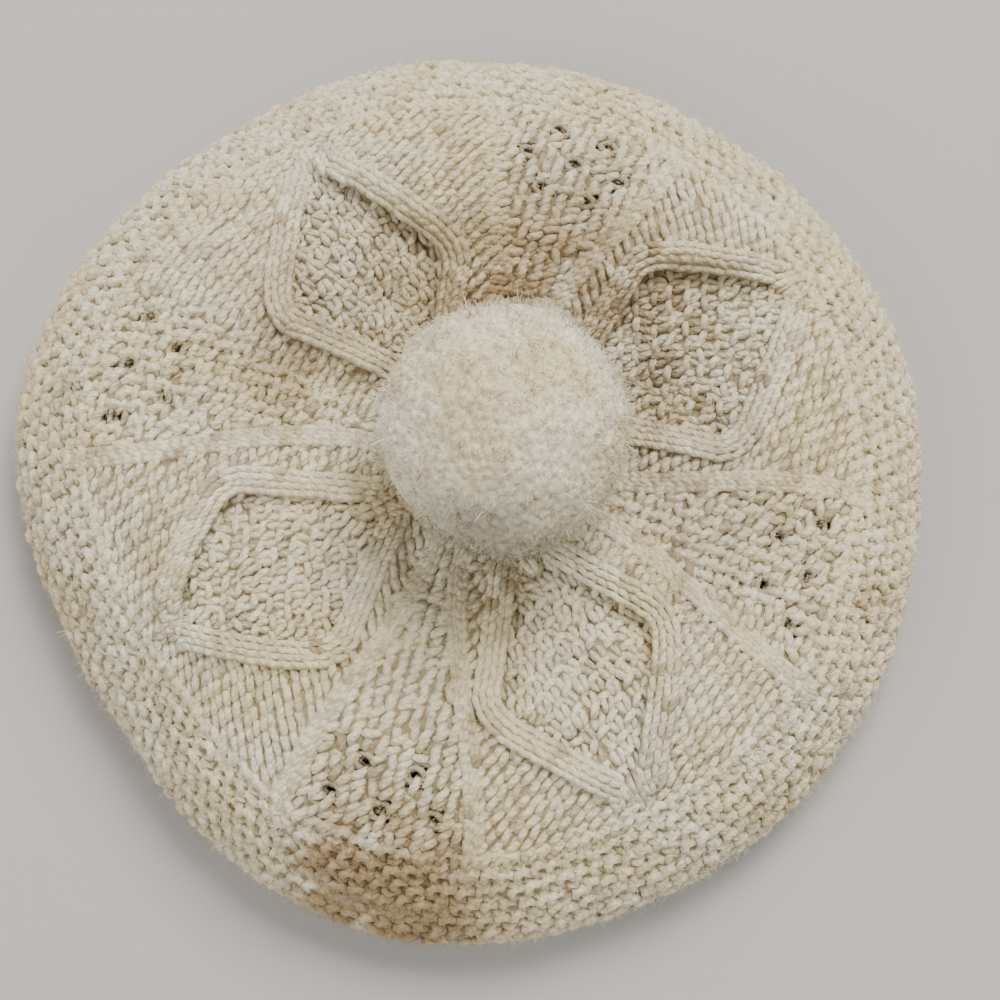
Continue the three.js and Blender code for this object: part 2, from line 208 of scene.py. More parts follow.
class Loop(enum.Enum):
    """The visible loops of hand knitting, each a short run of yarn that dives at both ends."""

    PURL_HEAD = (
        YarnPoint(-0.62, -0.10, -1.25, 0.80),
        YarnPoint(-0.34, 0.00, -0.25, 1.00),
        YarnPoint(0.00, 0.04, 0.05, 1.06),
        YarnPoint(0.34, 0.00, -0.25, 1.00),
        YarnPoint(0.62, -0.10, -1.25, 0.80),
    )
    PURL_SINKER = (
        YarnPoint(-0.55, 0.20, -1.20, 0.85),
        YarnPoint(-0.20, 0.00, -0.70, 1.00),
        YarnPoint(0.20, 0.00, -0.70, 1.00),
        YarnPoint(0.55, 0.20, -1.20, 0.85),
    )
    GARTER_HEAD = (
        YarnPoint(-0.36, -0.60, -1.80, 0.80),
        YarnPoint(-0.36, -0.12, -0.45, 1.00),
        YarnPoint(-0.16, 0.24, 0.05, 1.06),
        YarnPoint(0.16, 0.24, 0.05, 1.06),
        YarnPoint(0.36, -0.12, -0.45, 1.00),
        YarnPoint(0.36, -0.60, -1.80, 0.80),
    )
    GARTER_SINKER = (
        YarnPoint(-0.34, 0.44, -1.30, 0.80),
        YarnPoint(-0.26, 0.06, -0.40, 1.00),
        YarnPoint(0.00, -0.14, -0.12, 1.04),
        YarnPoint(0.26, 0.06, -0.40, 1.00),
        YarnPoint(0.34, 0.44, -1.30, 0.80),
    )
    KNIT_LEG = (
        YarnPoint(0.03, -0.85, -1.00, 0.75),
        YarnPoint(0.19, -0.42, -0.12, 1.00),
        YarnPoint(0.27, 0.04, 0.10, 1.06),
        YarnPoint(0.30, 0.50, -0.12, 1.00),
        YarnPoint(0.22, 0.95, -1.00, 0.75),
    )
    MOSS_BUMP = (
        YarnPoint(-0.58, -0.20, -1.50, 0.80),
        YarnPoint(-0.32, 0.00, -0.10, 1.00),
        YarnPoint(0.00, 0.08, 0.35, 1.08),
        YarnPoint(0.32, 0.02, -0.10, 1.00),
        YarnPoint(0.58, -0.16, -1.50, 0.80),
    )
    LACE_STRAND = (
        YarnPoint(-0.16, -0.95, -1.60, 0.75),
        YarnPoint(-0.08, -0.45, -0.20, 0.98),
        YarnPoint(0.04, 0.10, 0.15, 1.02),
        YarnPoint(0.12, 0.55, -0.20, 0.98),
        YarnPoint(0.18, 0.98, -1.60, 0.75),
    )

    def column(self, name: str) -> Array:
        """One named column of the loop's points."""
        return np.array([getattr(point, name) for point in self.value])


@dataclass(frozen=True)
class Gauge:
    """Width of a stitch, height of a row, radius of the yarn, and how deep its middle lies in the wall."""

    stitch: float
    row: float
    yarn: float
    sunk: float = 0.75


@dataclass(frozen=True)
class Loose:
    """How unevenly loops are knitted: how far they stray, and how far they turn, in radians."""

    drift: float
    turn: float


@dataclass(frozen=True)
class Slant:
    """How loops lean the way the whole fabric is pulled.

    share is how much of the turn each loop takes, most is the largest turn, in radians, and across is the
    angle from the way to the crown's centre to the run of the loop itself.
    """

    share: float
    most: float
    across: float = 90.0


@dataclass
class Spots:
    """Where loops sit on the wall, one entry for each loop.

    arc runs along the meridian, heading is in radians from the way to the crown's centre, lift stands off
    the wall, and tone is how light the yarn is, from random unevenness and from painted shade.
    """

    arc: Array
    angle: Array
    heading: Array
    lift: Array
    tone: Array

    @classmethod
    def on_rows(cls, arc: Array, angle: Array) -> "Spots":
        """Loops that lead straight to the crown's centre, lying on the wall."""
        return cls(arc, angle, np.zeros(len(arc)), np.zeros(len(arc)), np.ones(len(arc)))

    @classmethod
    def ring(cls, form: "WallForm", arc: float, stitch: float, number: int = 0) -> "Spots":
        """A whole row of loops round the crown.

        Args:
            form: The wall.
            arc: The row's place along the meridian.
            stitch: Width of a stitch.
            number: The row's number; every second row starts half a stitch on.

        Returns:
            The loops.
        """
        columns = round(2 * math.pi * float(form.radius_at(arc)) / stitch)
        angle = (np.arange(columns) + 0.5 * (number % 2)) * 360 / columns
        return cls.on_rows(np.full(columns, arc), angle)

    @classmethod
    def sheet(cls, arc: Array, columns: int) -> "Spots":
        """Points of a sheet, row by row, evenly round the crown."""
        rows = np.meshgrid(arc, np.arange(columns) * 360 / columns, indexing="ij")
        return cls.on_rows(rows[0].ravel(), rows[1].ravel())

    def pick(self, chosen: Array) -> "Spots":
        """The loops that a mask or an index picks."""
        return Spots(
            self.arc[chosen], self.angle[chosen], self.heading[chosen], self.lift[chosen], self.tone[chosen]
        )

    def loosened(self, rng: np.random.Generator, loose: Loose) -> "Spots":
        """Hand-knitted unevenness.

        Args:
            rng: Seeded source of chance.
            loose: How uneven the loops are.

        Returns:
            The same loops, each a little out of place, turned and lighter or darker.
        """
        count = len(self.arc)
        return Spots(
            self.arc + rng.normal(0, loose.drift, count),
            self.angle + rng.normal(0, loose.drift * 0.5, count),
            self.heading + rng.normal(0, loose.turn, count),
            self.lift + rng.normal(0, loose.drift * 0.8, count),
            np.clip(self.tone + rng.normal(0, UNEVEN_TONE, count), 0, BRIGHTEST_TONE),
        )

    def slanted(self, slant: Slant) -> "Spots":
        """Loops that lean the way the whole fabric is pulled.

        Args:
            slant: How far they lean.

        Returns:
            The leaning loops.
        """
        turn = (self.angle + slant.across - PULL_DIRECTION + 90) % 180 - 90
        lean = np.clip(np.radians(turn) * slant.share, -slant.most, slant.most)
        return Spots(self.arc, self.angle, self.heading + lean, self.lift, self.tone)


@dataclass
class WallForm:
    """The smooth wall that every stitch lies on, from the gather over the rim and under to the band."""

    centre: tuple[float, float]
    shoulder: float = 44.0
    dish: float = 8.5
    drift: float = 5.5
    seam_radius: float = 71.65
    rim_radius: float = 135.0
    strand_inner: float = 22.0
    strand_half: float = 4.5
    strand_height: float = 2.8
    rib_half: float = 2.75
    rib_height: float = 1.5
    rib_inner: float = 34.0
    rib_outer: float = 114.0
    rib_inner_across: float = 4.5
    rib_outer_across: float = 29.0
    turn_rounding: float = 0.30
    gusset_sink: float = 0.8
    gusset_edge: int = 4
    gusset_reach: Fade = Fade(40, 70, 104, 122)
    dent_edge: int = 6
    dent_gain: float = 1.05
    dent_full: float = 0.8
    dent_waning: float = 1.05
    pucker: float = 0.7
    groove: float = 0.8
    groove_reach: Fade = Fade(2.5, 5.5, 6.0, 11.0)
    hollow_floor: float = 0.3
    swing_from: float = 74.0
    swing_full: float = 125.0
    waves: tuple[RimWave, ...] = (
        RimWave(2, 1.8, -30),
        RimWave(3, 2.3, 35),
        RimWave(4, 1.5, -12),
        RimWave(5, 1.3, 28),
    )
    diamonds: tuple[Diamond, ...] = (
        Diamond(29.5, 111, 77, 27.5, 76, 37, 3.6),
        Diamond(118.5, 107, 71, 31.5, 62, 26, 3.6),
        Diamond(208.5, 107, 70, 33, 73, 28.5, 1.6),
        Diamond(296.5, 109, 73, 29, 75, 31, 1.6),
    )
    gussets: tuple[Gusset, ...] = (Gusset(-19, 8), Gusset(71.5, 0, 1), Gusset(164, 8, -1), Gusset(255, 9))
    eyelet_rows: tuple[EyeletRow, ...] = (EyeletRow(84, 2, 9), EyeletRow(95, 3, 8.5), EyeletRow(106, 2, 8.5))
    hollows: tuple[Hollow, ...] = (Hollow(66, 151, 10, 2.4), Hollow(54, 156, 9, 2.4))
    samples: int = 40
    arc: Array = field(init=False)
    radius: Array = field(init=False)
    offset: Array = field(init=False)
    height: Array = field(init=False)
    out: Array = field(init=False)
    up: Array = field(init=False)
    rim_arc: float = field(init=False)

    def __post_init__(self) -> None:
        """Samples the meridian and measures along it."""
        gather = self.shoulder - self.dish
        sections = (
            Section(3, gather, self.drift),
            Section(26, gather + 0.8, self.drift),
            Section(51, self.shoulder - 2.6, self.drift * 0.95),
            Section(76, self.shoulder, self.drift * 0.85),
            Section(104, self.shoulder - 5.5, self.drift * 0.6),
            Section(125, self.shoulder - 16.5, self.drift * 0.2),
            Section(self.rim_radius, 14, 0),
            Section(130.5, 3.2, 0),
            Section(122.5, -0.4, 0),
            Section(112.5, -0.4, 0),
            Section(95, 9.5, 0),
            Section(self.seam_radius, 27, 0),
        )
        points = np.array([(row.radius, row.drift, row.height) for row in sections], float)
        curve = self._through(points)
        self.radius, self.offset, self.height = curve.T
        steps = np.hypot(np.diff(self.radius), np.diff(self.height))
        self.arc = np.concatenate([[0.0], np.cumsum(steps)])
        slope_out = np.gradient(self.radius, self.arc)
        slope_up = np.gradient(self.height, self.arc)
        length = np.hypot(slope_out, slope_up)
        self.out = -slope_up / length
        self.up = slope_out / length
        self.rim_arc = float(self.arc[np.argmax(self.radius)])

    def _through(self, points: Array) -> Array:
        """Runs a centripetal curve through points, as the part's own wall does.

        Args:
            points: One row a section.

        Returns:
            The sampled curve, one row a sample.
        """
        before = 2 * points[0] - points[1]
        after = 2 * points[-1] - points[-2]
        padded = np.vstack([before, points, after])
        share = np.linspace(0, 1, self.samples, endpoint=False)[:, None]
        spans = []
        for start in range(len(points) - 1):
            first, second, third, fourth = padded[start : start + 4]
            gap_in, gap, gap_out = (
                np.sqrt(np.linalg.norm(end - begin))
                for begin, end in ((first, second), (second, third), (third, fourth))
            )
            leave = (second - first) / gap_in - (third - first) / (gap_in + gap) + (third - second) / gap
            arrive = (third - second) / gap - (fourth - second) / (gap + gap_out)
            arrive = arrive + (fourth - third) / gap_out
            leave, arrive = leave * gap, arrive * gap
            square = -3 * second + 3 * third - 2 * leave - arrive
            cube = 2 * second - 2 * third + leave + arrive
            spans.append(second + leave * share + square * share**2 + cube * share**3)
        return np.vstack([*spans, points[-1:]])

    def radius_at(self, arc: Array) -> Array:
        """Radius of the wall at a length along its meridian."""
        return np.interp(arc, self.arc, self.radius)

    def top_arc(self, radius: Array) -> Array:
        """Length along the meridian at which the top has a radius."""
        top = self.arc <= self.rim_arc
        return np.interp(radius, self.radius[top], self.arc[top])

    def spread(self, across: Array, radius: Array) -> Array:
        """Angle that a width across the radius takes up."""
        return np.degrees(np.arcsin(np.clip(across / radius, 0, 0.99)))

    def strand_off(self, diamond: Diamond, side: int, radius: Array) -> Array:
        """Angle of a strand off its diamond's axis.

        Args:
            diamond: The diamond that the strand edges.
            side: 1 for the counterclockwise strand, -1 for the clockwise one.
            radius: Where along the strand.

        Returns:
            The angle, never negative.
        """
        turn = diamond.turn(side)
        rising = (radius - self.strand_inner) / (turn - self.strand_inner)
        falling = (diamond.outer - radius) / (diamond.outer - turn)
        overlap = np.maximum(self.turn_rounding - np.abs(rising - falling), 0) / self.turn_rounding
        share = np.minimum(rising, falling) - overlap**2 * self.turn_rounding / 4
        return self.spread(np.maximum(diamond.across(side) * share, self.strand_half * 1.1), radius)

    def rib_off(self, radius: Array) -> Array:
        """Angle of a rib off its gusset's axis.

        Args:
            radius: Where along the rib.

        Returns:
            The angle.
        """
        straight = (radius - self.rib_inner) / (self.rib_outer - self.rib_inner)
        share = np.clip((smoothstep(radius, self.rib_inner, self.rib_outer) + straight) / 2, 0, 1)
        widening = self.rib_outer_across - self.rib_inner_across
        return self.spread(self.rib_inner_across + widening * share, radius)

    @staticmethod
    def turn_between(start: float, end: Array) -> Array:
        """Signed turn from one angle to another, within half a turn."""
        return (np.asarray(end, float) - start + 180) % 360 - 180

    def sink(self, radius: Array, angle: Array) -> Array:
        """How deep the wall dips between the strands, in the gussets and at the hollows.

        Args:
            radius: Radii of the places.
            angle: Angles of the places.

        Returns:
            The depths.
        """
        depth = np.zeros(np.broadcast(radius, angle).shape)
        for diamond in self.diamonds:
            offset = self.turn_between(diamond.axis, angle)
            for side in SIDES:
                turn = diamond.turn(side)
                strand = self.strand_off(diamond, side, radius)
                share = np.abs(offset) / strand
                full, waning = turn * self.dent_full, turn * self.dent_waning
                along = Fade(self.strand_inner, full, waning, diamond.outer).at(radius)
                inside = (share < 1) & (np.sign(offset + 1e-9) == side)
                dent = self.dent_gain * diamond.sink * (1 - share**self.dent_edge)
                inward = (strand - np.abs(offset)) * np.radians(radius)
                groove = self.groove * self.groove_reach.at(inward)
                depth += np.where(inside, (dent + groove) * along, 0)
        for gusset in self.gussets:
            share = np.abs(self.turn_between(gusset.axis, angle)) / self.rib_off(radius)
            dent = self.gusset_sink * (1 - share**self.gusset_edge) * self.gusset_reach.at(radius)
            depth += np.where(share < 1, dent, 0)
        for hollow in self.hollows:
            around = np.radians(self.turn_between(hollow.angle, angle)) * hollow.radius
            gap = np.hypot(radius - hollow.radius, around)
            depth += hollow.depth * (1 - smoothstep(gap, self.hollow_floor * hollow.reach, hollow.reach))
        return depth

    def puckered(self, arc: Array, angle: Array) -> Array:
        """Gentle unevenness of the loose fabric, from slow waves that cross.

        Args:
            arc: Lengths along the meridian.
            angle: Angles round the crown.

        Returns:
            Heights off the wall.
        """
        turn = np.radians(angle)
        broad = np.sin(7 * turn + arc / 9) * np.sin(arc / 13 + 2 * np.sin(2 * turn))
        fine = np.sin(17 * turn - arc / 5) * np.sin(arc / 6.5 + 3 * turn)
        return self.pucker * (broad + 0.6 * fine)

    def place(self, arc: Array, angle: Array, lift: Array) -> Array:
        """Points on the wall, or off it by a lift.

        Args:
            arc: Lengths along the meridian.
            angle: Angles round the crown.
            lift: Heights off the wall's outer face.

        Returns:
            The points, with X, Y and Z last.
        """
        radius = self.radius_at(arc)
        out = np.interp(arc, self.arc, self.out)
        up = np.interp(arc, self.arc, self.up)
        swing = sum(
            wave.swing * np.cos(np.radians(wave.lobes * (angle - wave.toward))) for wave in self.waves
        )
        sink = np.where(arc < self.rim_arc, self.sink(radius, angle) - self.puckered(arc, angle), 0)
        swing = swing * smoothstep(radius, self.swing_from, self.swing_full)
        reach = radius + swing + out * (lift - sink)
        height = np.interp(arc, self.arc, self.height) + up * (lift - sink)
        x = reach * np.cos(np.radians(angle)) + self.centre[0]
        y = reach * np.sin(np.radians(angle)) + self.centre[1] + np.interp(arc, self.arc, self.offset)
        return np.stack([x, y, height], axis=-1)

    def normal(self, arc: Array, angle: Array) -> Array:
        """Directions that face out of the wall.

        Args:
            arc: Lengths along the meridian.
            angle: Angles round the crown.

        Returns:
            The directions, with X, Y and Z last.
        """
        out = np.interp(arc, self.arc, self.out)
        up = np.interp(arc, self.arc, self.up)
        return np.stack([out * np.cos(np.radians(angle)), out * np.sin(np.radians(angle)), up], axis=-1)

    def eyelets(self) -> tuple[Array, Array]:
        """Places of all the eyelets.

        Returns:
            Their radii and their angles.
        """
        spots = [
            (row.radius + gusset.eyelet_shift, gusset.axis + row.pitch * (place - (row.count - 1) / 2))
            for gusset in self.gussets
            for row in self.eyelet_rows
            for place in range(row.count)
        ]
        radius, angle = np.array(spots).T
        return radius, angle


class YarnMesh:
    """Gathers many short runs of yarn into one mesh."""

    def __init__(self, name: str) -> None:
        """Starts an empty mesh.

        Args:
            name: Name of the piece that it becomes.
        """
        self.name = name
        self.points: list[Array] = []
        self.corners: list[Array] = []
        self.face_sizes: list[Array] = []
        self.uvs: list[Array] = []
        self.tones: list[Array] = []
        self.count = 0

    def tubes(self, path: Array, girth: Array, facing: Array, sides: int, tone: Array) -> None:
        """Adds round runs of yarn, closed at both ends.

        Args:
            path: Middle lines, one run a row, with X, Y and Z last.
            girth: Radii along each run.
            facing: The way out of the wall along each run.
            sides: How many sides a run has.
            tone: How light the yarn is along each run, before the painted shade that darkens each ring's
                sides and underside.
        """
        runs, steps, _ = path.shape
        ahead = np.gradient(path, axis=1)
        ahead /= np.linalg.norm(ahead, axis=-1, keepdims=True)
        aside = np.cross(ahead, facing)
        aside /= np.linalg.norm(aside, axis=-1, keepdims=True) + 1e-9
        above = np.cross(aside, ahead)
        turn = np.linspace(0, 2 * math.pi, sides, endpoint=False)
        ring = np.cos(turn)[:, None] * aside[:, :, None] + np.sin(turn)[:, None] * above[:, :, None]
        points = path[:, :, None] + girth[:, :, None, None] * ring
        first = self.count + np.arange(runs)[:, None, None] * steps * sides
        here = first + np.arange(steps)[None, :, None] * sides + np.arange(sides)[None, None, :]
        beside = np.roll(here, -1, axis=2)
        quads = np.stack([here[:, :-1], here[:, 1:], beside[:, 1:], beside[:, :-1]], axis=-1)
        caps = np.stack([here[:, 0], here[:, -1, ::-1]], axis=1)
        length = np.linalg.norm(np.diff(path, axis=1), axis=-1)
        along = np.concatenate([np.zeros((runs, 1)), np.cumsum(length, axis=1)], axis=1)
        u = np.broadcast_to(along[:, :, None], here.shape)
        v = np.broadcast_to(np.arange(sides) / sides, here.shape)
        v_next = v + 1 / sides
        u_quads = np.stack([u[:, :-1], u[:, 1:], u[:, 1:], u[:, :-1]], axis=-1)
        v_quads = np.stack([v[:, :-1], v[:, 1:], v_next[:, 1:], v_next[:, :-1]], axis=-1)
        cap_u = np.stack([u[:, 0], u[:, -1, ::-1]], axis=1)
        cap_v = np.stack([v[:, 0], v[:, -1, ::-1]], axis=1)
        quad_uv = np.stack([u_quads.ravel(), v_quads.ravel()], axis=-1)
        cap_uv = np.stack([cap_u.ravel(), cap_v.ravel()], axis=-1)
        # Painted shade: each ring is darker on its sides and underside than on its crest.
        self._store(
            points.reshape(-1, 3),
            np.concatenate([quads.ravel(), caps.ravel()]),
            np.concatenate([np.full(quads.size // 4, 4), np.full(runs * 2, sides)]),
            np.concatenate([quad_uv, cap_uv]),
            (tone[:, :, None] * (SIDE_SHADE + (1 - SIDE_SHADE) * np.sin(turn))).ravel(),
        )

    def fibres(self, path: Array, facing: Array, width: float, tone: Array) -> None:
        """Adds flat hair-thin fibres.

        Args:
            path: Middle lines, one fibre a row, with X, Y and Z last.
            facing: A direction that each fibre lies flat against.
            width: Width at the root, narrowing to the tip.
            tone: How light each fibre is.
        """
        runs, steps, _ = path.shape
        ahead = np.gradient(path, axis=1)
        aside = np.cross(ahead, facing[:, None])
        aside /= np.linalg.norm(aside, axis=-1, keepdims=True) + 1e-9
        half = aside * (np.linspace(FIBRE_ROOT, FIBRE_TIP, steps) * width)[None, :, None]
        points = np.stack([path - half, path + half], axis=2)
        first = self.count + np.arange(runs)[:, None] * steps * 2
        here = first + np.arange(steps - 1)[None] * 2
        quads = np.stack([here, here + 1, here + 3, here + 2], axis=-1)
        self._store(
            points.reshape(-1, 3),
            quads.ravel(),
            np.full(quads.size // 4, 4),
            np.zeros((quads.size, 2)),
            np.repeat(tone, steps * 2),
        )

    def sheet(self, points: Array, kept: Array, tone: float) -> None:
        """Adds a sheet that closes on itself, left open where its points aren't kept.

        Args:
            points: The sheet's points by row and column, with X, Y and Z last.
            kept: Which points it keeps.
            tone: How light it is.
        """
        rows, columns, _ = points.shape
        here = self.count + np.arange(rows * columns).reshape(rows, columns)
        beside = np.roll(here, -1, axis=1)
        quads = np.stack([here[:-1], here[1:], beside[1:], beside[:-1]], axis=-1)
        whole = kept & np.roll(kept, -1, axis=1)
        quads = quads[whole[:-1] & whole[1:]]
        self._store(
            points.reshape(-1, 3),
            quads.ravel(),
            np.full(len(quads), 4),
            np.zeros((quads.size, 2)),
            np.full(rows * columns, tone),
        )

    def _store(self, points: Array, corners: Array, sizes: Array, uvs: Array, tones: Array) -> None:
        """Keeps a batch of faces.

        Args:
            points: The corners' places, never under the table.
            corners: Which point each face corner uses.
            sizes: How many corners each face has.
            uvs: Yarn coordinates of each face corner.
            tones: How light each point is.
        """
        points[:, 2] = np.maximum(points[:, 2], 0)
        self.points.append(points)
        self.corners.append(corners)
        self.face_sizes.append(sizes)
        self.uvs.append(uvs)
        self.tones.append(tones)
        self.count += len(points)

    def knit(
        self, form: WallForm, loop: Loop, spots: Spots, gauge: Gauge, sides: int, hand: int = 1,
        face: int = 1,
    ) -> None:
        """Lays one kind of loop on the wall at many spots.

        Args:
            form: The wall.
            loop: Which loop.
            spots: Where the loops sit.
            gauge: Width of a stitch, height of a row and radius of the yarn.
            sides: How many sides the yarn has.
            hand: 1 for the loop as drawn, -1 for its mirror image.
            face: 1 for the outside of the wall, -1 for its inside.
        """
        across = hand * gauge.stitch * loop.column("across")
        along = gauge.row * loop.column("along")
        lift = gauge.yarn * loop.column("lift") - gauge.sunk
        lead = -np.cos(spots.heading)[:, None]
        lean = np.sin(spots.heading)[:, None]
        arc = spots.arc[:, None] + along * lead + across * lean
        round_by = along * lean - across * lead
        angle = spots.angle[:, None] + np.degrees(round_by / form.radius_at(spots.arc)[:, None])
        path = form.place(arc, angle, spots.lift[:, None] + face * lift)
        girth = np.broadcast_to(gauge.yarn * loop.column("girth"), arc.shape)
        # Painted shade: the yarn darkens where it dives into the fabric.
        tone = spots.tone[:, None] * depth_shade(loop.column("lift"))
        self.tubes(path, girth, form.normal(arc, angle) * face, sides, tone)

    def make(self) -> bpy.types.Object:
        """Turns the gathered yarn into an object, smooth, with its yarn coordinates and its tones of random
        unevenness and painted shade.

        Returns:
            The object.
        """
        mesh = bpy.data.meshes.new(self.name)
        points = np.concatenate(self.points).astype(np.float32) * MM
        corners = np.concatenate(self.corners).astype(np.int32)
        sizes = np.concatenate(self.face_sizes).astype(np.int32)
        starts = np.concatenate([[0], np.cumsum(sizes)[:-1]]).astype(np.int32)
        mesh.vertices.add(len(points))
        mesh.vertices.foreach_set("co", points.ravel())
        mesh.loops.add(len(corners))
        mesh.loops.foreach_set("vertex_index", corners)
        mesh.polygons.add(len(sizes))
        mesh.polygons.foreach_set("loop_start", starts)
        mesh.polygons.foreach_set("use_smooth", np.ones(len(sizes), bool))
        mesh.update(calc_edges=True)
        layer = mesh.uv_layers.new(name=UV_NAME)
        layer.data.foreach_set("uv", np.concatenate(self.uvs).astype(np.float32).ravel())
        tone = mesh.attributes.new(TONE_AND_SHADE_NAME, "FLOAT", "POINT")
        tone.data.foreach_set("value", np.concatenate(self.tones).astype(np.float32))
        mesh.validate()
        piece = bpy.data.objects.new(self.name, mesh)
        bpy.context.scene.collection.objects.link(piece)
        return piece


class Graph:
    """A short way to lay out shader nodes."""

    def __init__(self, tree: bpy.types.NodeTree) -> None:
        """Wraps a node tree.

        Args:
            tree: The tree of a material or of a node group.
        """
        self.tree = tree

    def add(self, kind: str, values: dict | None = None, **settings: object) -> bpy.types.Node:
        """Adds a node.

        Args:
            kind: Blender's name for the node, without its ShaderNode start.
            values: Sockets to fill, by name or place, each with a value or with a socket to link.
            settings: Properties of the node itself.

        Returns:
            The node.
        """
        node = self.tree.nodes.new("ShaderNode" + kind)
        for key, setting in settings.items():
            setattr(node, key, setting)
        for key, value in (values or {}).items():
            if isinstance(value, bpy.types.NodeSocket):
                self.tree.links.new(value, node.inputs[key])
            else:
                node.inputs[key].default_value = value
        return node

    def mix(self, factor: object, first: object, second: object, blend: str = "MIX") -> bpy.types.NodeSocket:
        """Mixes two colours.

        Args:
            factor: Share of the second one, a value or a socket.
            first: A colour or a socket.
            second: A colour or a socket.
            blend: Blender's name for the way of mixing.

        Returns:
            The mixed colour's socket.
        """
        node = self.add("Mix", data_type="RGBA", blend_type=blend)
        for place, value in ((0, factor), (6, first), (7, second)):
            if isinstance(value, bpy.types.NodeSocket):
                self.tree.links.new(value, node.inputs[place])
            elif place:
                node.inputs[place].default_value = (*value, 1)
            else:
                node.inputs[place].default_value = value
        return node.outputs[2]

    def maths(self, work: str, *values: object) -> bpy.types.NodeSocket:
        """Works out a value from others.

        Args:
            work: Blender's name for the operation.
            values: Numbers or sockets.

        Returns:
            The result's socket.
        """
        return self.add("Math", dict(enumerate(values)), operation=work).outputs[0]

    def eased(self, value: bpy.types.NodeSocket, low: float, high: float) -> bpy.types.NodeSocket:
        """Eases a value from 0 at low to 1 at high, with low above high to fall instead."""
        values = {"Value": value, "From Min": low, "From Max": high}
        return self.add("MapRange", values, interpolation_type="SMOOTHSTEP").outputs[0]


@dataclass(frozen=True)
class WoolTexture:
    """The wool's fuzz, tufts, patches and blots: noise scales in waves a metre, and where each one shows."""

    fuzz_scale: float = 2600.0
    fuzz_detail: float = 2.0
    fuzz_roughness: float = 0.7
    slow_detail: float = 3.0
    tuft_scale: float = 620.0
    tuft_height: float = 1.6
    streak_from: float = 0.62
    streak_full: float = 0.3
    streak: float = 0.42
    patch_scale: float = 34.0
    patch_from: float = 0.35
    patch_full: float = 0.68
    blot_scale: float = 90.0
    blot_from: float = 0.2
    blot_full: float = 0.58


class WoolGroups:
    """The effects that every wool shares, each built once as a node group."""

    def __init__(self, texture: WoolTexture) -> None:
        """Builds the groups.

        Args:
            texture: Sizes of the effects.
        """
        self.texture = texture
        self.twist = self._twist()
        self.fibre = self._fibre()
        self.wear_and_shade = self._wear_and_shade()

    @staticmethod
    def _start(
        name: str, inputs: dict[str, str], outputs: dict[str, str]
    ) -> tuple[bpy.types.NodeTree, Graph]:
        """Starts a group with named sockets.

        Args:
            name: Name of the group.
            inputs: Blender's socket type for each input.
            outputs: Blender's socket type for each output.

        Returns:
            The group and a graph to fill it with.
        """
        tree = bpy.data.node_groups.new(name, "ShaderNodeTree")
        for direction, sockets in (("INPUT", inputs), ("OUTPUT", outputs)):
            for label, kind in sockets.items():
                tree.interface.new_socket(label, in_out=direction, socket_type="NodeSocket" + kind)
        return tree, Graph(tree)

    def _twist(self) -> bpy.types.NodeTree:
        """Plies that wind round the yarn, from its own coordinates.

        Returns:
            The group.
        """
        tree, graph = self._start(
            "yarn_twist", {"Vector": "Vector", "Plies": "Float", "Lay": "Float"}, {"Height": "Float"}
        )
        source = tree.nodes.new("NodeGroupInput")
        sink = tree.nodes.new("NodeGroupOutput")
        parts = graph.add("SeparateXYZ", {0: source.outputs["Vector"]})
        wound = graph.maths("MULTIPLY", parts.outputs[0], source.outputs["Lay"])
        phase = graph.maths("ADD", graph.maths("MULTIPLY", parts.outputs[1], source.outputs["Plies"]), wound)
        ridge = graph.maths("ABSOLUTE", graph.maths("SINE", graph.maths("MULTIPLY", phase, math.pi)))
        tree.links.new(ridge, sink.inputs["Height"])
        return tree

    def _fibre(self) -> bpy.types.NodeTree:
        """Fine fuzz over everything, and slow patches of lighter and yellower wool.

        Returns:
            The group.
        """
        tree, graph = self._start(
            "wool_fibre", {"Vector": "Vector"}, {"Height": "Float", "Patch": "Float", "Streak": "Float"}
        )
        source = tree.nodes.new("NodeGroupInput")
        sink = tree.nodes.new("NodeGroupOutput")
        where = source.outputs["Vector"]
        wool = self.texture
        fine = graph.add("TexNoise", {"Vector": where, "Scale": wool.fuzz_scale, "Detail": wool.fuzz_detail})
        fine.inputs["Roughness"].default_value = wool.fuzz_roughness
        slow, tuft = (
            graph.add("TexNoise", {"Vector": where, "Scale": scale, "Detail": wool.slow_detail})
            for scale in (wool.patch_scale, wool.tuft_scale)
        )
        high = graph.maths("MULTIPLY", tuft.outputs[0], wool.tuft_height)
        tree.links.new(graph.maths("ADD", fine.outputs[0], high), sink.inputs["Height"])
        streaked = graph.eased(tuft.outputs[0], wool.streak_from, wool.streak_full)
        tree.links.new(graph.maths("MULTIPLY", streaked, wool.streak), sink.inputs["Streak"])
        tree.links.new(graph.eased(slow.outputs[0], wool.patch_from, wool.patch_full), sink.inputs["Patch"])
        return tree

    def _wear_and_shade(self) -> bpy.types.NodeTree:
        """Makes the marks uneven: the yellowing, and the brown stains together with the painted shade.

        Returns:
            The group.
        """
        marks = {name: "Float" for name in WEAR_AND_SHADE_MARKS}
        tree, graph = self._start("wool_wear_and_shade", {"Vector": "Vector", **marks}, marks)
        source = tree.nodes.new("NodeGroupInput")
        sink = tree.nodes.new("NodeGroupOutput")
        wool = self.texture
        values = {"Vector": source.outputs["Vector"], "Scale": wool.blot_scale, "Detail": wool.slow_detail}
        patchy = graph.eased(graph.add("TexNoise", values).outputs[0], wool.blot_from, wool.blot_full)
        for name in WEAR_AND_SHADE_MARKS:
            uneven = graph.maths("MULTIPLY", source.outputs[name], patchy)
            tree.links.new(graph.maths("MINIMUM", uneven, 1.0), sink.inputs[name])
        return tree


MARK_MIDDLE = 0.15


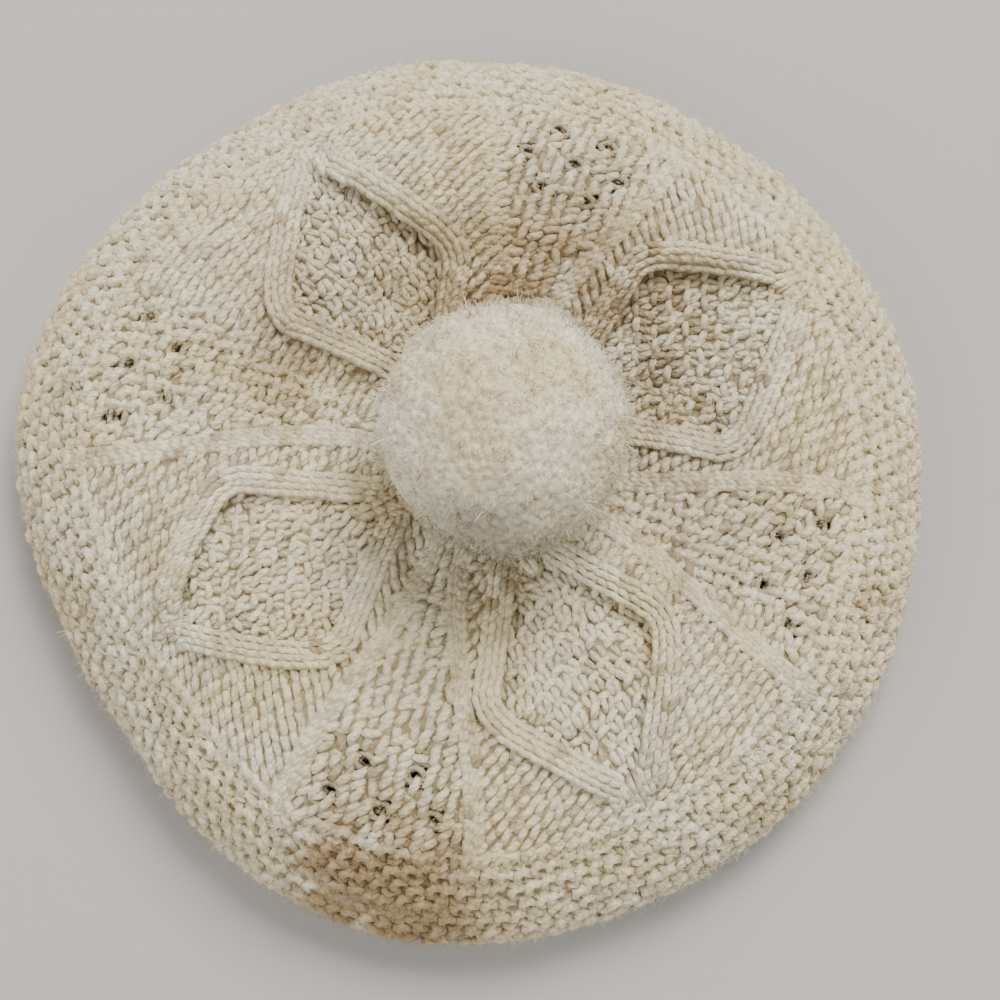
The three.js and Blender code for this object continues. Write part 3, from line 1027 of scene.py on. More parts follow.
@dataclass(frozen=True)
class WearAndShadeMark:
    """A mark on the wool, of yellowing, brown stain or painted shade: where it is, how far it reaches and
    how strong it is.
    """

    spot: tuple[float, float, float]
    reach: float
    strength: float

    def at(self, points: Array) -> Array:
        """How strong the mark is at each point."""
        gap = np.linalg.norm(points - np.array(self.spot), axis=1)
        return self.strength * (1 - smoothstep(gap, MARK_MIDDLE * self.reach, self.reach))


YELLOW_MARKS = (
    WearAndShadeMark((6.0, 14.0, 102.0), 26.0, 0.7),
    WearAndShadeMark((124.0, -18.0, 25.0), 62.0, 1.0),
    WearAndShadeMark((118.0, 52.0, 25.0), 44.0, 0.7),
    WearAndShadeMark((-122.0, 20.0, 25.0), 50.0, 0.5),
    WearAndShadeMark((-6.0, -122.0, 25.0), 66.0, 1.0),
    WearAndShadeMark((90.0, -90.0, 25.0), 44.0, 0.4),
)
BROWN_AND_SHADE_MARKS = (
    # Brown stains: a large one on the rim's lower left and small brown specks.
    WearAndShadeMark((-24.0, -120.0, 24.0), 44.0, 1.4),
    WearAndShadeMark((-36.0, -112.0, 28.0), 17.0, 0.4),
    WearAndShadeMark((122.0, -36.0, 24.0), 12.0, 0.35),
    WearAndShadeMark((-97.0, 68.0, 36.0), 6.0, 0.8),
    WearAndShadeMark((-117.0, 29.0, 30.0), 7.0, 0.7),
    # Painted shade: the dish dimmer on its upper side and round the pompom, the fold by the left gusset, and
    # the pompom's underside.
    WearAndShadeMark((36.0, 46.0, 38.0), 68.0, 0.6),
    WearAndShadeMark((-14.0, 62.0, 38.0), 46.0, 0.42),
    WearAndShadeMark((14.0, 24.0, 38.0), 58.0, 0.36),
    WearAndShadeMark((-54.0, 40.0, 38.0), 46.0, 0.36),
    WearAndShadeMark((-54.0, 34.0, 38.0), 20.0, 0.35),
    WearAndShadeMark((27.0, 72.0, 38.0), 40.0, 0.36),
    WearAndShadeMark((72.0, -12.0, 38.0), 46.0, 0.42),
    WearAndShadeMark((8.0, -25.0, 72.0), 33.0, 1.5),
)
WEAR_AND_SHADE_MARKS = {"yellowed": YELLOW_MARKS, "browned_and_shaded": BROWN_AND_SHADE_MARKS}


@dataclass(frozen=True)
class WoolFinish:
    """A wool: its own colour, the colour that painted shade and fibre streaks darken it to, its yellowed
    colour, the colour of its brown stains and painted shade, and how its yarn and fuzz stand up.
    """

    name: str
    light: Colour
    deep: Colour
    yellow: Colour
    brown_and_shade: Colour
    twist: float
    fuzz: float
    sheen: float
    has_yarn: bool = True
    plies: float = 3.0
    lay: float = 0.55
    tone_lit: float = 1.0
    tone_deep: float = 0.3
    bump: float = 0.8
    bump_depth: float = 0.8
    roughness: float = 0.95
    gloss: float = 0.1
    sheen_roughness: float = 0.6

    def make(self, groups: WoolGroups) -> bpy.types.Material:
        """Builds the material.

        Args:
            groups: The shared wool effects.

        Returns:
            The material.
        """
        material = bpy.data.materials.new(self.name)
        material.use_nodes = True
        tree = material.node_tree
        tree.nodes.clear()
        graph = Graph(tree)
        where = graph.add("TexCoord").outputs["Object"]
        fibre = graph.add("Group", node_tree=groups.fibre)
        wear_and_shade = graph.add("Group", node_tree=groups.wear_and_shade)
        tree.links.new(where, fibre.inputs["Vector"])
        tree.links.new(where, wear_and_shade.inputs["Vector"])
        colour = graph.mix(fibre.outputs["Patch"], self.light, self.yellow)
        # The first kind of mark is yellowing; the second holds brown stains and painted shade.
        for name, marked in zip(WEAR_AND_SHADE_MARKS, (self.yellow, self.brown_and_shade)):
            strength = graph.add("Attribute", attribute_name=name, attribute_type="GEOMETRY")
            tree.links.new(strength.outputs["Fac"], wear_and_shade.inputs[name])
            colour = graph.mix(wear_and_shade.outputs[name], colour, marked)
        colour = graph.mix(fibre.outputs["Streak"], colour, self.deep, "MULTIPLY")
        height = fibre.outputs["Height"]
        if self.has_yarn:
            # The tone attribute carries random unevenness and painted shade; low tones darken the colour
            # toward deep.
            tone = graph.add("Attribute", attribute_name=TONE_AND_SHADE_NAME, attribute_type="GEOMETRY").outputs["Fac"]
            deepened = graph.eased(tone, self.tone_lit, self.tone_deep)
            colour = graph.mix(deepened, colour, self.deep, "MULTIPLY")
            twist = graph.add("Group", node_tree=groups.twist)
            tree.links.new(graph.add("UVMap", uv_map=UV_NAME).outputs[0], twist.inputs["Vector"])
            twist.inputs["Plies"].default_value = self.plies
            twist.inputs["Lay"].default_value = self.lay
            strand = graph.maths("MULTIPLY", twist.outputs["Height"], self.twist)
            height = graph.maths("ADD", graph.maths("MULTIPLY", height, self.fuzz), strand)
        bump = graph.add("Bump", {"Height": height, "Strength": self.bump, "Distance": self.bump_depth * MM})
        shader = graph.add("BsdfPrincipled", {"Base Color": colour, "Normal": bump.outputs[0]})
        shader.inputs["Roughness"].default_value = self.roughness
        shader.inputs["Specular IOR Level"].default_value = self.gloss
        shader.inputs["Sheen Weight"].default_value = self.sheen
        shader.inputs["Sheen Roughness"].default_value = self.sheen_roughness
        output = graph.add("OutputMaterial")
        tree.links.new(shader.outputs[0], output.inputs[0])
        return material


CREAM = linear(236, 226, 198)
# DEEP is the colour that painted shade and the fibre streaks darken the wool toward.
DEEP = linear(176, 165, 146)
YELLOWED = linear(230, 215, 172)
# Brown for the stains and for the painted shade on the crown.
STAIN_AND_SHADE_BROWN = linear(172, 147, 104)
PILE = linear(250, 241, 219)
# Painted shade for the pompom's underside.
POMPOM_SHADE_GREY = linear(188, 178, 154)
# Painted shade: the backing walls behind the stitches, and the pompom's tie, are drawn darker than the yarn.
SHADED = linear(176, 160, 132)
YARN = WoolFinish("cream_yarn", CREAM, DEEP, YELLOWED, STAIN_AND_SHADE_BROWN, twist=0.5, fuzz=0.6, sheen=0.2)
BACKING = WoolFinish("backing_wool", SHADED, SHADED, SHADED, SHADED, 0, 1, sheen=0.1, has_yarn=False)
VALLEY = WoolFinish("valley_wool", CREAM, DEEP, YELLOWED, STAIN_AND_SHADE_BROWN, 0, 1, sheen=0.1, has_yarn=False)
POMPOM_HAIR = WoolFinish("pompom_wool", PILE, DEEP, YELLOWED, POMPOM_SHADE_GREY, 0, fuzz=0.8, sheen=0.2)
POMPOM_BALL = WoolFinish("pompom_base", PILE, DEEP, YELLOWED, POMPOM_SHADE_GREY, 0, fuzz=0.8, sheen=0.2, has_yarn=False)


class Piece:
    """Steps that every finished piece goes through."""

    @staticmethod
    def dress(piece: bpy.types.Object, material: bpy.types.Material, slot: str) -> None:
        """Gives a piece its wool, its yellowing, its brown stains and its painted shade, and lets it ride on
        the tam.

        Args:
            piece: The finished piece.
            material: Its material.
            slot: Not used.
        """
        piece.data.materials.clear()
        piece.data.materials.append(material)
        points = np.empty(len(piece.data.vertices) * 3, np.float32)
        piece.data.vertices.foreach_get("co", points)
        # Per point strength of the yellowing, and of the brown stains with the painted shade.
        for name, marks in WEAR_AND_SHADE_MARKS.items():
            strength = sum(mark.at(points.reshape(-1, 3) / MM) for mark in marks)
            marked = piece.data.attributes.new(name, "FLOAT", "POINT")
            marked.data.foreach_set("value", strength.astype(np.float32))
        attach(piece, BODY)
        faces = sum(len(face.vertices) - 2 for face in piece.data.polygons)
        LOG.info("%s: %d triangles", piece.name, faces)

    @staticmethod
    def wall_of(
        node: bpy.types.Object, name: str, thinned: float, levels: int = 0, lowered: float = 0.0
    ) -> bpy.types.Object:
        """Models the backing behind the stitches from a node's own form, thinner and rounder.

        Args:
            node: The node that it stands for.
            name: Name of the new piece.
            thinned: How far each face is drawn in.
            levels: How often it is subdivided, 0 for not at all.
            lowered: How far the whole wall is set down.

        Returns:
            The backing wall.
        """
        bpy.ops.object.select_all(action="DESELECT")
        wall = bpy.data.objects.new(name, node.data.copy())
        bpy.context.scene.collection.objects.link(wall)
        wall.select_set(True)
        bpy.context.view_layer.objects.active = wall
        bpy.ops.object.mode_set(mode="EDIT")
        bpy.ops.mesh.select_all(action="SELECT")
        bpy.ops.mesh.remove_doubles(threshold=1e-6)
        bpy.ops.transform.shrink_fatten(value=-thinned * MM)
        bpy.ops.transform.translate(value=(0, 0, -lowered * MM))
        bpy.ops.object.mode_set(mode="OBJECT")
        if levels:
            rounding = wall.modifiers.new("rounding", "SUBSURF")
            rounding.levels = levels
            rounding.render_levels = levels
            bpy.ops.object.modifier_apply(modifier=rounding.name)
        bpy.ops.object.shade_smooth()
        return wall


@dataclass(frozen=True)
class Dimple:
    """A spot in a diamond where the moss is drawn in or swells, at its place on the table."""

    x: float
    y: float


DIMPLE_MIDDLE = 0.4
PIT_RISE = -1.0
PIT_REACH = 2.6
PITS = (
    Dimple(60.0, 24.0), Dimple(50.0, 22.5), Dimple(68.6, 22.0), Dimple(73.4, 15.0), Dimple(52.4, 40.0),
    Dimple(-38.5, 61.0), Dimple(-45.4, 50.5), Dimple(-49.6, 56.0), Dimple(-33.0, 49.5), Dimple(-22.3, 49.5),
    Dimple(-63.0, -21.5), Dimple(-59.8, -27.0), Dimple(-55.3, -25.4), Dimple(-66.0, -28.4),
    Dimple(32.0, -52.4), Dimple(15.2, -59.6), Dimple(9.2, -62.6), Dimple(34.7, -63.2), Dimple(26.6, -65.0),
    Dimple(33.2, -74.0), Dimple(36.5, -80.0),
)
BOBBLE_RISE = 1.2
BOBBLE_REACH = 5.5
BOBBLES = (
    Dimple(58.4, 46.0), Dimple(75.0, 32.5), Dimple(58.4, 33.0), Dimple(-43.0, 58.6), Dimple(-43.0, 75.0),
    Dimple(34.4, -67.4), Dimple(37.4, -48.0),
)


@dataclass(frozen=True)
class Relief:
    """How boldly one side of a diamond stands up, outside and inside its corner."""

    outer: float
    inner: float


RELIEF = (
    {1: Relief(1.2, 0.75), -1: Relief(0.4, 0.55)},
    {1: Relief(0.35, 0.75), -1: Relief(1.25, 0.9)},
    {1: Relief(0.5, 0.3), -1: Relief(1.2, 0.5)},
    {1: Relief(0.85, 0.9), -1: Relief(0.4, 0.5)},
)


@dataclass(frozen=True)
class Collar:
    """A turn of yarn round an eyelet: its reach, its height off the wall, its radius and how light it is,
    darker as painted shade round the hole.
    """

    reach: float
    lift: float
    yarn: float
    tone: float


# Painted shade: the turns round each eyelet are darker than the yarn, the inner turn most.
COLLARS = (Collar(2.45, -1.3, 0.95, 0.6), Collar(1.55, -2.9, 0.85, 0.42))


@dataclass
class Crown:
    """The knitted top: purl ground, moss diamonds, lace gussets, cable strands and the gussets' ribs."""

    form: WallForm
    ground: Gauge = Gauge(4.25, 2.95, 1.34, 1.0)
    moss: Gauge = Gauge(4.25, 2.95, 1.22, 0.75)
    lace: Gauge = Gauge(3.9, 3.1, 1.36, 1.0)
    cable: Gauge = Gauge(3.9, 3.5, 1.2, 0.55)
    rib: Gauge = Gauge(2.6, 3.0, 1.3, 1.25)
    inner: Gauge = Gauge(5.0, 4.1, 1.5, 0.4)
    purl_slant: Slant = Slant(0.8, 0.8)
    sinker_slant: Slant = Slant(0.6, 0.6)
    middle_slant: Slant = Slant(0.7, 0.7)
    bump_slant: Slant = Slant(0.85, 0.85)
    knit_slant: Slant = Slant(0.2, 0.3)
    lace_slant: Slant = Slant(0.85, 1.0)
    lace_strand_slant: Slant = Slant(0.8, 0.8, 0.0)
    ground_loose: Loose = Loose(0.3, 0.16)
    middle_loose: Loose = Loose(0.2, 0.15)
    inside_loose: Loose = Loose(0.15, 0.08)
    moss_loose: Loose = Loose(0.25, 0.22)
    lace_loose: Loose = Loose(0.3, 0.3)
    chain_loose: Loose = Loose(0.14, 0.07)
    wall_thinned: float = 1.3
    wall_lowered: float = 3.7
    gather_radius: float = 9.0
    ring_radius: float = 115.5
    felt_inner: float = 14.0
    felt_overlap: float = 2.5
    felt_step: float = 2.2
    felt_columns: int = 300
    felt_depth: float = 1.2
    felt_shade: float = 0.4
    middle_inner: float = 24.0
    middle_outer: float = 62.0
    middle_depth: float = 0.9
    inside_inner: float = 12.0
    inside_outer: float = 66.0
    inside_depth: float = 6.3
    moss_knit_depth: float = 0.2
    lace_sinker_depth: float = 0.1
    lace_strand_lift: float = 0.3
    eyelet_reach: float = 2.7
    collar_points: int = 11
    collar_along: float = 0.9
    collar_wide: float = 1.15
    collar_uneven: float = 0.15
    collar_ripple: float = 0.55
    collar_ripples: int = 3
    shoulder: float = 0.6
    shoulder_outside: tuple[float, float] = (1.5, 10.0)
    shoulder_inside: tuple[float, float] = (2.0, 5.0)
    strand_overlap: float = 2.0
    strand_ends: tuple[float, float] = (1.0, 6.0)
    covered_ends: tuple[float, float] = (3.0, 8.0)
    strand_start: float = 5.0
    strand_full: float = 16.0
    strand_waning: float = 12.0
    strand_proud: float = 0.6
    turn_blend: float = 8.0
    path_points: int = 240
    crest_fall: float = 0.45
    raised_shade: float = 0.86
    core_radius: float = 2.7
    core_depth: float = 3.4
    core_shade: float = 0.6
    core_step: int = 4
    joint_relief: Relief = Relief(0.6, 0.6)
    joint_points: int = 20
    point_joint: tuple[float, float] = (3.0, 7.0)
    gather_joint: tuple[float, float] = (38.0, 27.0)
    rib_from: float = 119.0
    rib_to: float = 24.0
    rib_reach: Fade = Fade(30, 44, 100, 118)
    rib_share: float = 0.3
    rib_cover: float = 0.55
    edge_inner: float = 30.0
    seed: int = 11

    def build(self, node: bpy.types.Object) -> list[bpy.types.Object]:
        """Makes the crown's pieces.

        Args:
            node: The crown as built.

        Returns:
            The backing wall first, then the stitches.
        """
        rng = np.random.default_rng(self.seed)
        return [
            Piece.wall_of(node, "crown_wall", self.wall_thinned, lowered=self.wall_lowered),
            self._felt(),
            *self._ground(rng),
            self._middle(rng),
            self._strands(rng),
            self._ribs(rng),
            self._eyelet_collars(rng),
            self._inside(rng),
        ]

    def _wales(self, radius: float) -> tuple[Array, Array, Array]:
        """Columns of stitches on one row of the patterned top.

        Args:
            radius: The row's radius.

        Returns:
            Angles, wale numbers and whether each lies in a gusset.
        """
        form = self.form
        half_rib = form.spread(np.array(form.rib_half * self.rib_cover), radius)
        rib = form.rib_off(np.array(radius))
        angles, numbers, laced = [], [], []
        for place, diamond in enumerate(form.diamonds):
            ends = ((1, form.gussets[(place + 1) % len(form.gussets)]), (-1, form.gussets[place]))
            for side, gusset in ends:
                reach = abs(float(form.turn_between(diamond.axis, gusset.axis))) - rib - half_rib
                step = math.degrees(self.ground.stitch / radius)
                offsets = np.arange(0.5, max(float(reach) / step, 0), 1.0)
                angles.append(diamond.axis + side * offsets * step)
                numbers.append(np.floor(offsets).astype(int) + (side > 0))
                laced.append(np.zeros(len(offsets), bool))
        for gusset in form.gussets:
            step = math.degrees(self.lace.stitch / radius)
            most = int(max(float(rib - half_rib), 0) / step)
            offsets = np.arange(-most, most + 1)
            angles.append(gusset.axis + offsets * step)
            numbers.append(offsets)
            laced.append(np.ones(len(offsets), bool))
        return np.concatenate(angles), np.concatenate(numbers), np.concatenate(laced)

    def _rows(self) -> Array:
        """Places of the ground's rows along the meridian, from the gather to the garter rim."""
        return np.arange(
            self.form.top_arc(self.gather_radius), self.form.top_arc(self.ring_radius), self.ground.row
        )

    def _ground(self, rng: np.random.Generator) -> list[bpy.types.Object]:
        """Purl wedges, moss diamonds and lace gussets, left open under the strands and round the holes.

        Args:
            rng: Seeded source of chance.

        Returns:
            One piece each.
        """
        form = self.form
        arcs, angles, parities, laces = [], [], [], []
        for number, arc in enumerate(self._rows()):
            angle, wale, laced = self._wales(float(form.radius_at(arc)))
            arcs.append(np.full(len(angle), arc))
            angles.append(angle)
            parities.append((wale + number) % 2)
            laces.append(laced)
        spots = Spots.on_rows(np.concatenate(arcs), np.concatenate(angles))
        parity = np.concatenate(parities)
        laced = np.concatenate(laces)
        covered, inside = self._under_strands(spots)
        keep = ~covered & ~self._near_eyelet(spots)
        self._shape_moss(spots)
        self._raise_shoulders(spots)
        spots = spots.loosened(rng, self.ground_loose)
        return [
            self._purl(spots.pick(keep & ~inside & ~laced)),
            self._moss(spots.pick(keep & inside & ~laced), parity[keep & inside & ~laced], rng),
            self._lace(spots.pick(keep & laced), parity[keep & laced], rng),
        ]

    def _felt(self) -> bpy.types.Object:
        """A sheet of matted wool between the stitches, open at the eyelets, drawn dark as painted shade in
        the gaps.

        Returns:
            The piece.
        """
        form = self.form
        ends = form.top_arc(np.array([self.felt_inner, self.ring_radius + self.felt_overlap]))
        arc = np.arange(*ends, self.felt_step)
        spots = Spots.sheet(arc, self.felt_columns)
        self._shape_moss(spots)
        self._raise_shoulders(spots)
        points = form.place(spots.arc, spots.angle, spots.lift - self.felt_depth)
        mesh = YarnMesh("felt_with_painted_shade")
        kept = ~self._near_eyelet(spots)
        mesh.sheet(points.reshape(len(arc), -1, 3), kept.reshape(len(arc), -1), self.felt_shade)
        return mesh.make()

    def _middle(self, rng: np.random.Generator) -> bpy.types.Object:
        """Plain stitches low between the strands and ribs where they draw together under the pompom.

        Args:
            rng: Seeded source of chance.

        Returns:
            The piece.
        """
        form = self.form
        mesh = YarnMesh("drawn_in_middle")
        ends = form.top_arc(np.array([self.middle_inner, self.middle_outer]))
        for number, arc in enumerate(np.arange(*ends, self.ground.row)):
            spots = Spots.ring(form, arc, self.ground.stitch, number).loosened(rng, self.middle_loose)
            spots.lift = spots.lift - self.middle_depth
            mesh.knit(form, Loop.PURL_HEAD, spots.slanted(self.middle_slant), self.ground, LOW_YARN)
        return mesh.make()

    def _inside(self, rng: np.random.Generator) -> bpy.types.Object:
        """The knit side of the fabric, seen through the head opening.

        Args:
            rng: Seeded source of chance.

        Returns:
            The piece.
        """
        form = self.form
        mesh = YarnMesh("crown_inside")
        ends = form.top_arc(np.array([self.inside_inner, self.inside_outer]))
        for arc in np.arange(*ends, self.inner.row):
            spots = Spots.ring(form, arc, self.inner.stitch).loosened(rng, self.inside_loose)
            spots.lift = spots.lift - self.inside_depth
            for hand in SIDES:
                mesh.knit(form, Loop.KNIT_LEG, spots, self.inner, HIDDEN_YARN, hand, -1)
        return mesh.make()

    def _purl(self, spots: Spots) -> bpy.types.Object:
        """The plain wedges between a diamond and its gussets, purl side out.

        Args:
            spots: Where the stitches sit.

        Returns:
            The piece.
        """
        mesh = YarnMesh("purl_ground")
        mesh.knit(self.form, Loop.PURL_HEAD, spots.slanted(self.purl_slant), self.ground, SEEN_YARN)
        half_stitch = np.degrees(0.5 * self.ground.stitch / self.form.radius_at(spots.arc))
        sinkers = Spots(
            spots.arc + 0.5 * self.ground.row,
            spots.angle + half_stitch,
            spots.heading,
            spots.lift,
            spots.tone,
        )
        mesh.knit(self.form, Loop.PURL_SINKER, sinkers.slanted(self.sinker_slant), self.ground, LOW_YARN)
        return mesh.make()

    def _moss(self, spots: Spots, parity: Array, rng: np.random.Generator) -> bpy.types.Object:
        """The bobbly ground inside the diamonds: bumps and sunken knit stitches in turn.

        Args:
            spots: Where the stitches sit.
            parity: 1 for a bump and 0 for a knit stitch.
            rng: Seeded source of chance.

        Returns:
            The piece.
        """
        mesh = YarnMesh("diamond_moss")
        spots = spots.loosened(rng, self.moss_loose)
        bumps = spots.pick(parity == 1).slanted(self.bump_slant)
        mesh.knit(self.form, Loop.MOSS_BUMP, bumps, self.moss, SEEN_YARN)
        knits = spots.pick(parity == 0).slanted(self.knit_slant)
        knits.lift = knits.lift - self.moss_knit_depth
        for hand in SIDES:
            mesh.knit(self.form, Loop.KNIT_LEG, knits, self.moss, LOW_YARN, hand)
        return mesh.make()

    def _lace(self, spots: Spots, parity: Array, rng: np.random.Generator) -> bpy.types.Object:
        """The open lace of the gussets: drawn-out strands among loops.

        Args:
            spots: Where the stitches sit.
            parity: 1 for a loop and 0 for a strand.
            rng: Seeded source of chance.

        Returns:
            The piece.
        """
        mesh = YarnMesh("gusset_lace")
        below = spots.arc + 0.5 * self.lace.row
        low = Spots(below, spots.angle, spots.heading, spots.lift - self.lace_sinker_depth, spots.tone)
        mesh.knit(self.form, Loop.PURL_SINKER, low.loosened(rng, self.lace_loose), self.lace, HIDDEN_YARN)
        spots = spots.loosened(rng, self.lace_loose)
        mesh.knit(self.form, Loop.PURL_HEAD, spots.slanted(self.lace_slant), self.lace, SEEN_YARN)
        strands = spots.pick(parity == 0).slanted(self.lace_strand_slant)
        strands.lift = strands.lift + self.lace_strand_lift
        mesh.knit(self.form, Loop.LACE_STRAND, strands, self.lace, SEEN_YARN)
        return mesh.make()

    def _under_strands(self, spots: Spots) -> tuple[Array, Array]:
        """Which stitches the strands hide.

        Args:
            spots: The stitches.

        Returns:
            A mask of those under a strand, and a mask of those inside a diamond.
        """
        form = self.form
        radius = form.radius_at(spots.arc)
        half = form.spread(np.array(form.strand_half - self.strand_overlap), radius)
        outer_gap, inner_gap = self.covered_ends
        covered = np.zeros(len(radius), bool)
        inside = np.zeros(len(radius), bool)
        for diamond in form.diamonds:
            offset = form.turn_between(diamond.axis, spots.angle)
            for side in SIDES:
                reached = (radius < diamond.outer - outer_gap) & (radius > form.strand_inner + inner_gap)
                here = (offset * side > 0) & reached
                strand = form.strand_off(diamond, side, radius)
                covered |= here & (np.abs(np.abs(offset) - strand) < half)
                inside |= here & (np.abs(offset) < strand)
        return covered, inside

    def _near_eyelet(self, spots: Spots) -> Array:
        """Which stitches would close an eyelet.

        Args:
            spots: The stitches.

        Returns:
            A mask of them.
        """
        flat = self.form.place(spots.arc, spots.angle, np.zeros(len(spots.arc)))
        radius, angle = self.form.eyelets()
        eyelets = self.form.place(self.form.top_arc(radius), angle, np.zeros(len(radius)))
        return np.linalg.norm(flat[:, None] - eyelets[None], axis=-1).min(axis=1) < self.eyelet_reach

    def _shape_moss(self, spots: Spots) -> None:
        """Draws in the stitches at each pit and darkens them with painted shade, and raises those of each
        bobble.

        Args:
            spots: The stitches.
        """
        flat = self.form.place(spots.arc, spots.angle, np.zeros(len(spots.arc)))
        for dimples, rise, reach in ((PITS, PIT_RISE, PIT_REACH), (BOBBLES, BOBBLE_RISE, BOBBLE_REACH)):
            places = np.array([(dimple.x, dimple.y) for dimple in dimples])
            gap = np.linalg.norm(flat[:, None, :2] - places[None], axis=-1).min(axis=1)
            near = 1 - smoothstep(gap, DIMPLE_MIDDLE * reach, reach)
            spots.lift = spots.lift + rise * near
            # Painted shade: stitches drawn into a pit are darker.
            spots.tone = spots.tone * (1 + SHADE_PER_LIFT * min(rise, 0) * near)

    def _raise_shoulders(self, spots: Spots) -> None:
        """Lifts the ground beside the strands, so that it climbs to them from outside the diamonds.

        Args:
            spots: The stitches.
        """
        form = self.form
        radius = form.radius_at(spots.arc)
        for diamond, reliefs in zip(form.diamonds, RELIEF):
            offset = form.turn_between(diamond.axis, spots.angle)
            for side in SIDES:
                beyond = (offset * side - form.strand_off(diamond, side, radius)) * np.radians(radius)
                outside = 1 - smoothstep(beyond, *self.shoulder_outside)
                inside = 1 - smoothstep(-beyond, *self.shoulder_inside)
                near = np.where(beyond > 0, outside, inside)
                near = np.where((offset * side > 0) & (radius < diamond.outer), near, 0)
                rise = self._strand_rise(diamond, side, reliefs[side], radius)
                spots.lift = spots.lift + self.shoulder * near * rise

    def _strand_rise(self, diamond: Diamond, side: int, relief: Relief, radius: Array) -> Array:
        """How high a strand stands at the given radii.

        Args:
            diamond: The diamond that it edges.
            side: 1 for the counterclockwise strand, -1 for the clockwise one.
            relief: How boldly that side stands.
            radius: The radii.

        Returns:
            The heights.
        """
        form = self.form
        reach = Fade(
            form.strand_inner + self.strand_start,
            form.strand_inner + self.strand_full,
            diamond.outer - self.strand_waning,
            diamond.outer,
        )
        high = reach.at(radius) * (form.strand_height + self.strand_proud)
        turn = diamond.turn(side)
        past = smoothstep(radius, turn - self.turn_blend, turn + self.turn_blend)
        return high * (relief.inner + (relief.outer - relief.inner) * past)

    def _chain(
        self, mesh: YarnMesh, radius: Array, angle: Array, raised: Array, columns: Array, gauge: Gauge,
        rng: np.random.Generator,
    ) -> None:
        """Lays columns of knit stitches along a raised path.

        Args:
            mesh: The piece to add to.
            radius: Radii along the path, from the rim inward.
            angle: Angles along the path.
            raised: How high the path stands.
            columns: Places of the columns across the path.
            gauge: Their gauge.
            rng: Seeded source of chance.
        """
        form = self.form
        arc = form.top_arc(radius)
        steps = np.hypot(np.diff(arc), np.radians(np.diff(angle)) * (radius[1:] + radius[:-1]) / 2)
        along = np.concatenate([[0.0], np.cumsum(steps)])
        heading = np.arctan2(np.gradient(np.radians(angle)) * radius, -np.gradient(arc))
        for place, column in enumerate(columns):
            at = np.arange(0.5 + 0.5 * (place % 2), along[-1] / gauge.row) * gauge.row
            turn = np.interp(at, along, heading)
            here = np.interp(at, along, arc) + column * np.sin(turn)
            wide = column * np.cos(turn) / form.radius_at(here)
            spots = Spots.on_rows(here, np.interp(at, along, angle) + np.degrees(wide))
            crest = 1 - self.crest_fall * (column / form.strand_half) ** 2
            spots.lift = np.interp(at, along, raised) * crest
            # Painted shade: the raised strands and ribs are drawn a little darker.
            spots.tone = spots.tone * self.raised_shade
            spots = spots.loosened(rng, self.chain_loose)
            spots.heading = spots.heading + turn
            for hand in SIDES:
                mesh.knit(form, Loop.KNIT_LEG, spots, gauge, SEEN_YARN, hand)

    def _core(self, mesh: YarnMesh, radius: Array, angle: Array, raised: Array) -> None:
        """Fills a strand behind its stitches with a darker core, painted shade between the stitches.

        Args:
            mesh: The piece to add to.
            radius: Radii along the strand.
            angle: Angles along the strand.
            raised: How high the strand stands.
        """
        arc = self.form.top_arc(radius)[None]
        angle = angle[None]
        path = self.form.place(arc, angle, raised[None] - self.core_depth)
        girth = np.full(arc.shape, self.core_radius)
        tone = np.full(arc.shape, self.core_shade)
        mesh.tubes(path, girth, self.form.normal(arc, angle), CORE_YARN, tone)

    def _strands(self, rng: np.random.Generator) -> bpy.types.Object:
        """The raised cable strands round the diamonds, with the chain that joins them at both points.

        Args:
            rng: Seeded source of chance.

        Returns:
            The piece.
        """
        form = self.form
        mesh = YarnMesh("cable_strands")
        outer_gap, inner_gap = self.strand_ends
        above, below = self.point_joint
        for diamond, reliefs in zip(form.diamonds, RELIEF):
            radius = np.linspace(diamond.outer - outer_gap, form.strand_inner + inner_gap, self.path_points)
            for side in SIDES:
                angle = diamond.axis + side * form.strand_off(diamond, side, radius)
                columns = np.array([-0.5, 0.5]) * self.cable.stitch
                high = self._strand_rise(diamond, side, reliefs[side], radius)
                self._chain(mesh, radius, angle, high, columns, self.cable, rng)
                thin = slice(None, None, self.core_step)
                self._core(mesh, radius[thin], angle[thin], high[thin])
            for start, end in ((diamond.outer + above, diamond.outer - below), self.gather_joint):
                joint = np.linspace(start, end, self.joint_points)
                axis = np.full(self.joint_points, diamond.axis)
                low = self._strand_rise(diamond, 1, self.joint_relief, joint)
                self._chain(mesh, joint, axis, low, np.zeros(1), self.cable, rng)
        return mesh.make()

    def _ribs(self, rng: np.random.Generator) -> bpy.types.Object:
        """The knit ribs that edge the gussets.

        Args:
            rng: Seeded source of chance.

        Returns:
            The piece.
        """
        form = self.form
        mesh = YarnMesh("gusset_ribs")
        for gusset in form.gussets:
            radius = np.linspace(self.rib_from, self.rib_to, self.path_points)
            high = self.rib_reach.at(radius) * form.rib_height * self.rib_share
            for side in SIDES:
                angle = gusset.axis + side * form.rib_off(radius)
                columns = np.array([-0.5, 0.5]) * self.rib.stitch
                if side == gusset.plain_side:
                    self._plain_edge(mesh, gusset, columns, rng)
                else:
                    self._chain(mesh, radius, angle, high, columns, self.rib, rng)
        return mesh.make()

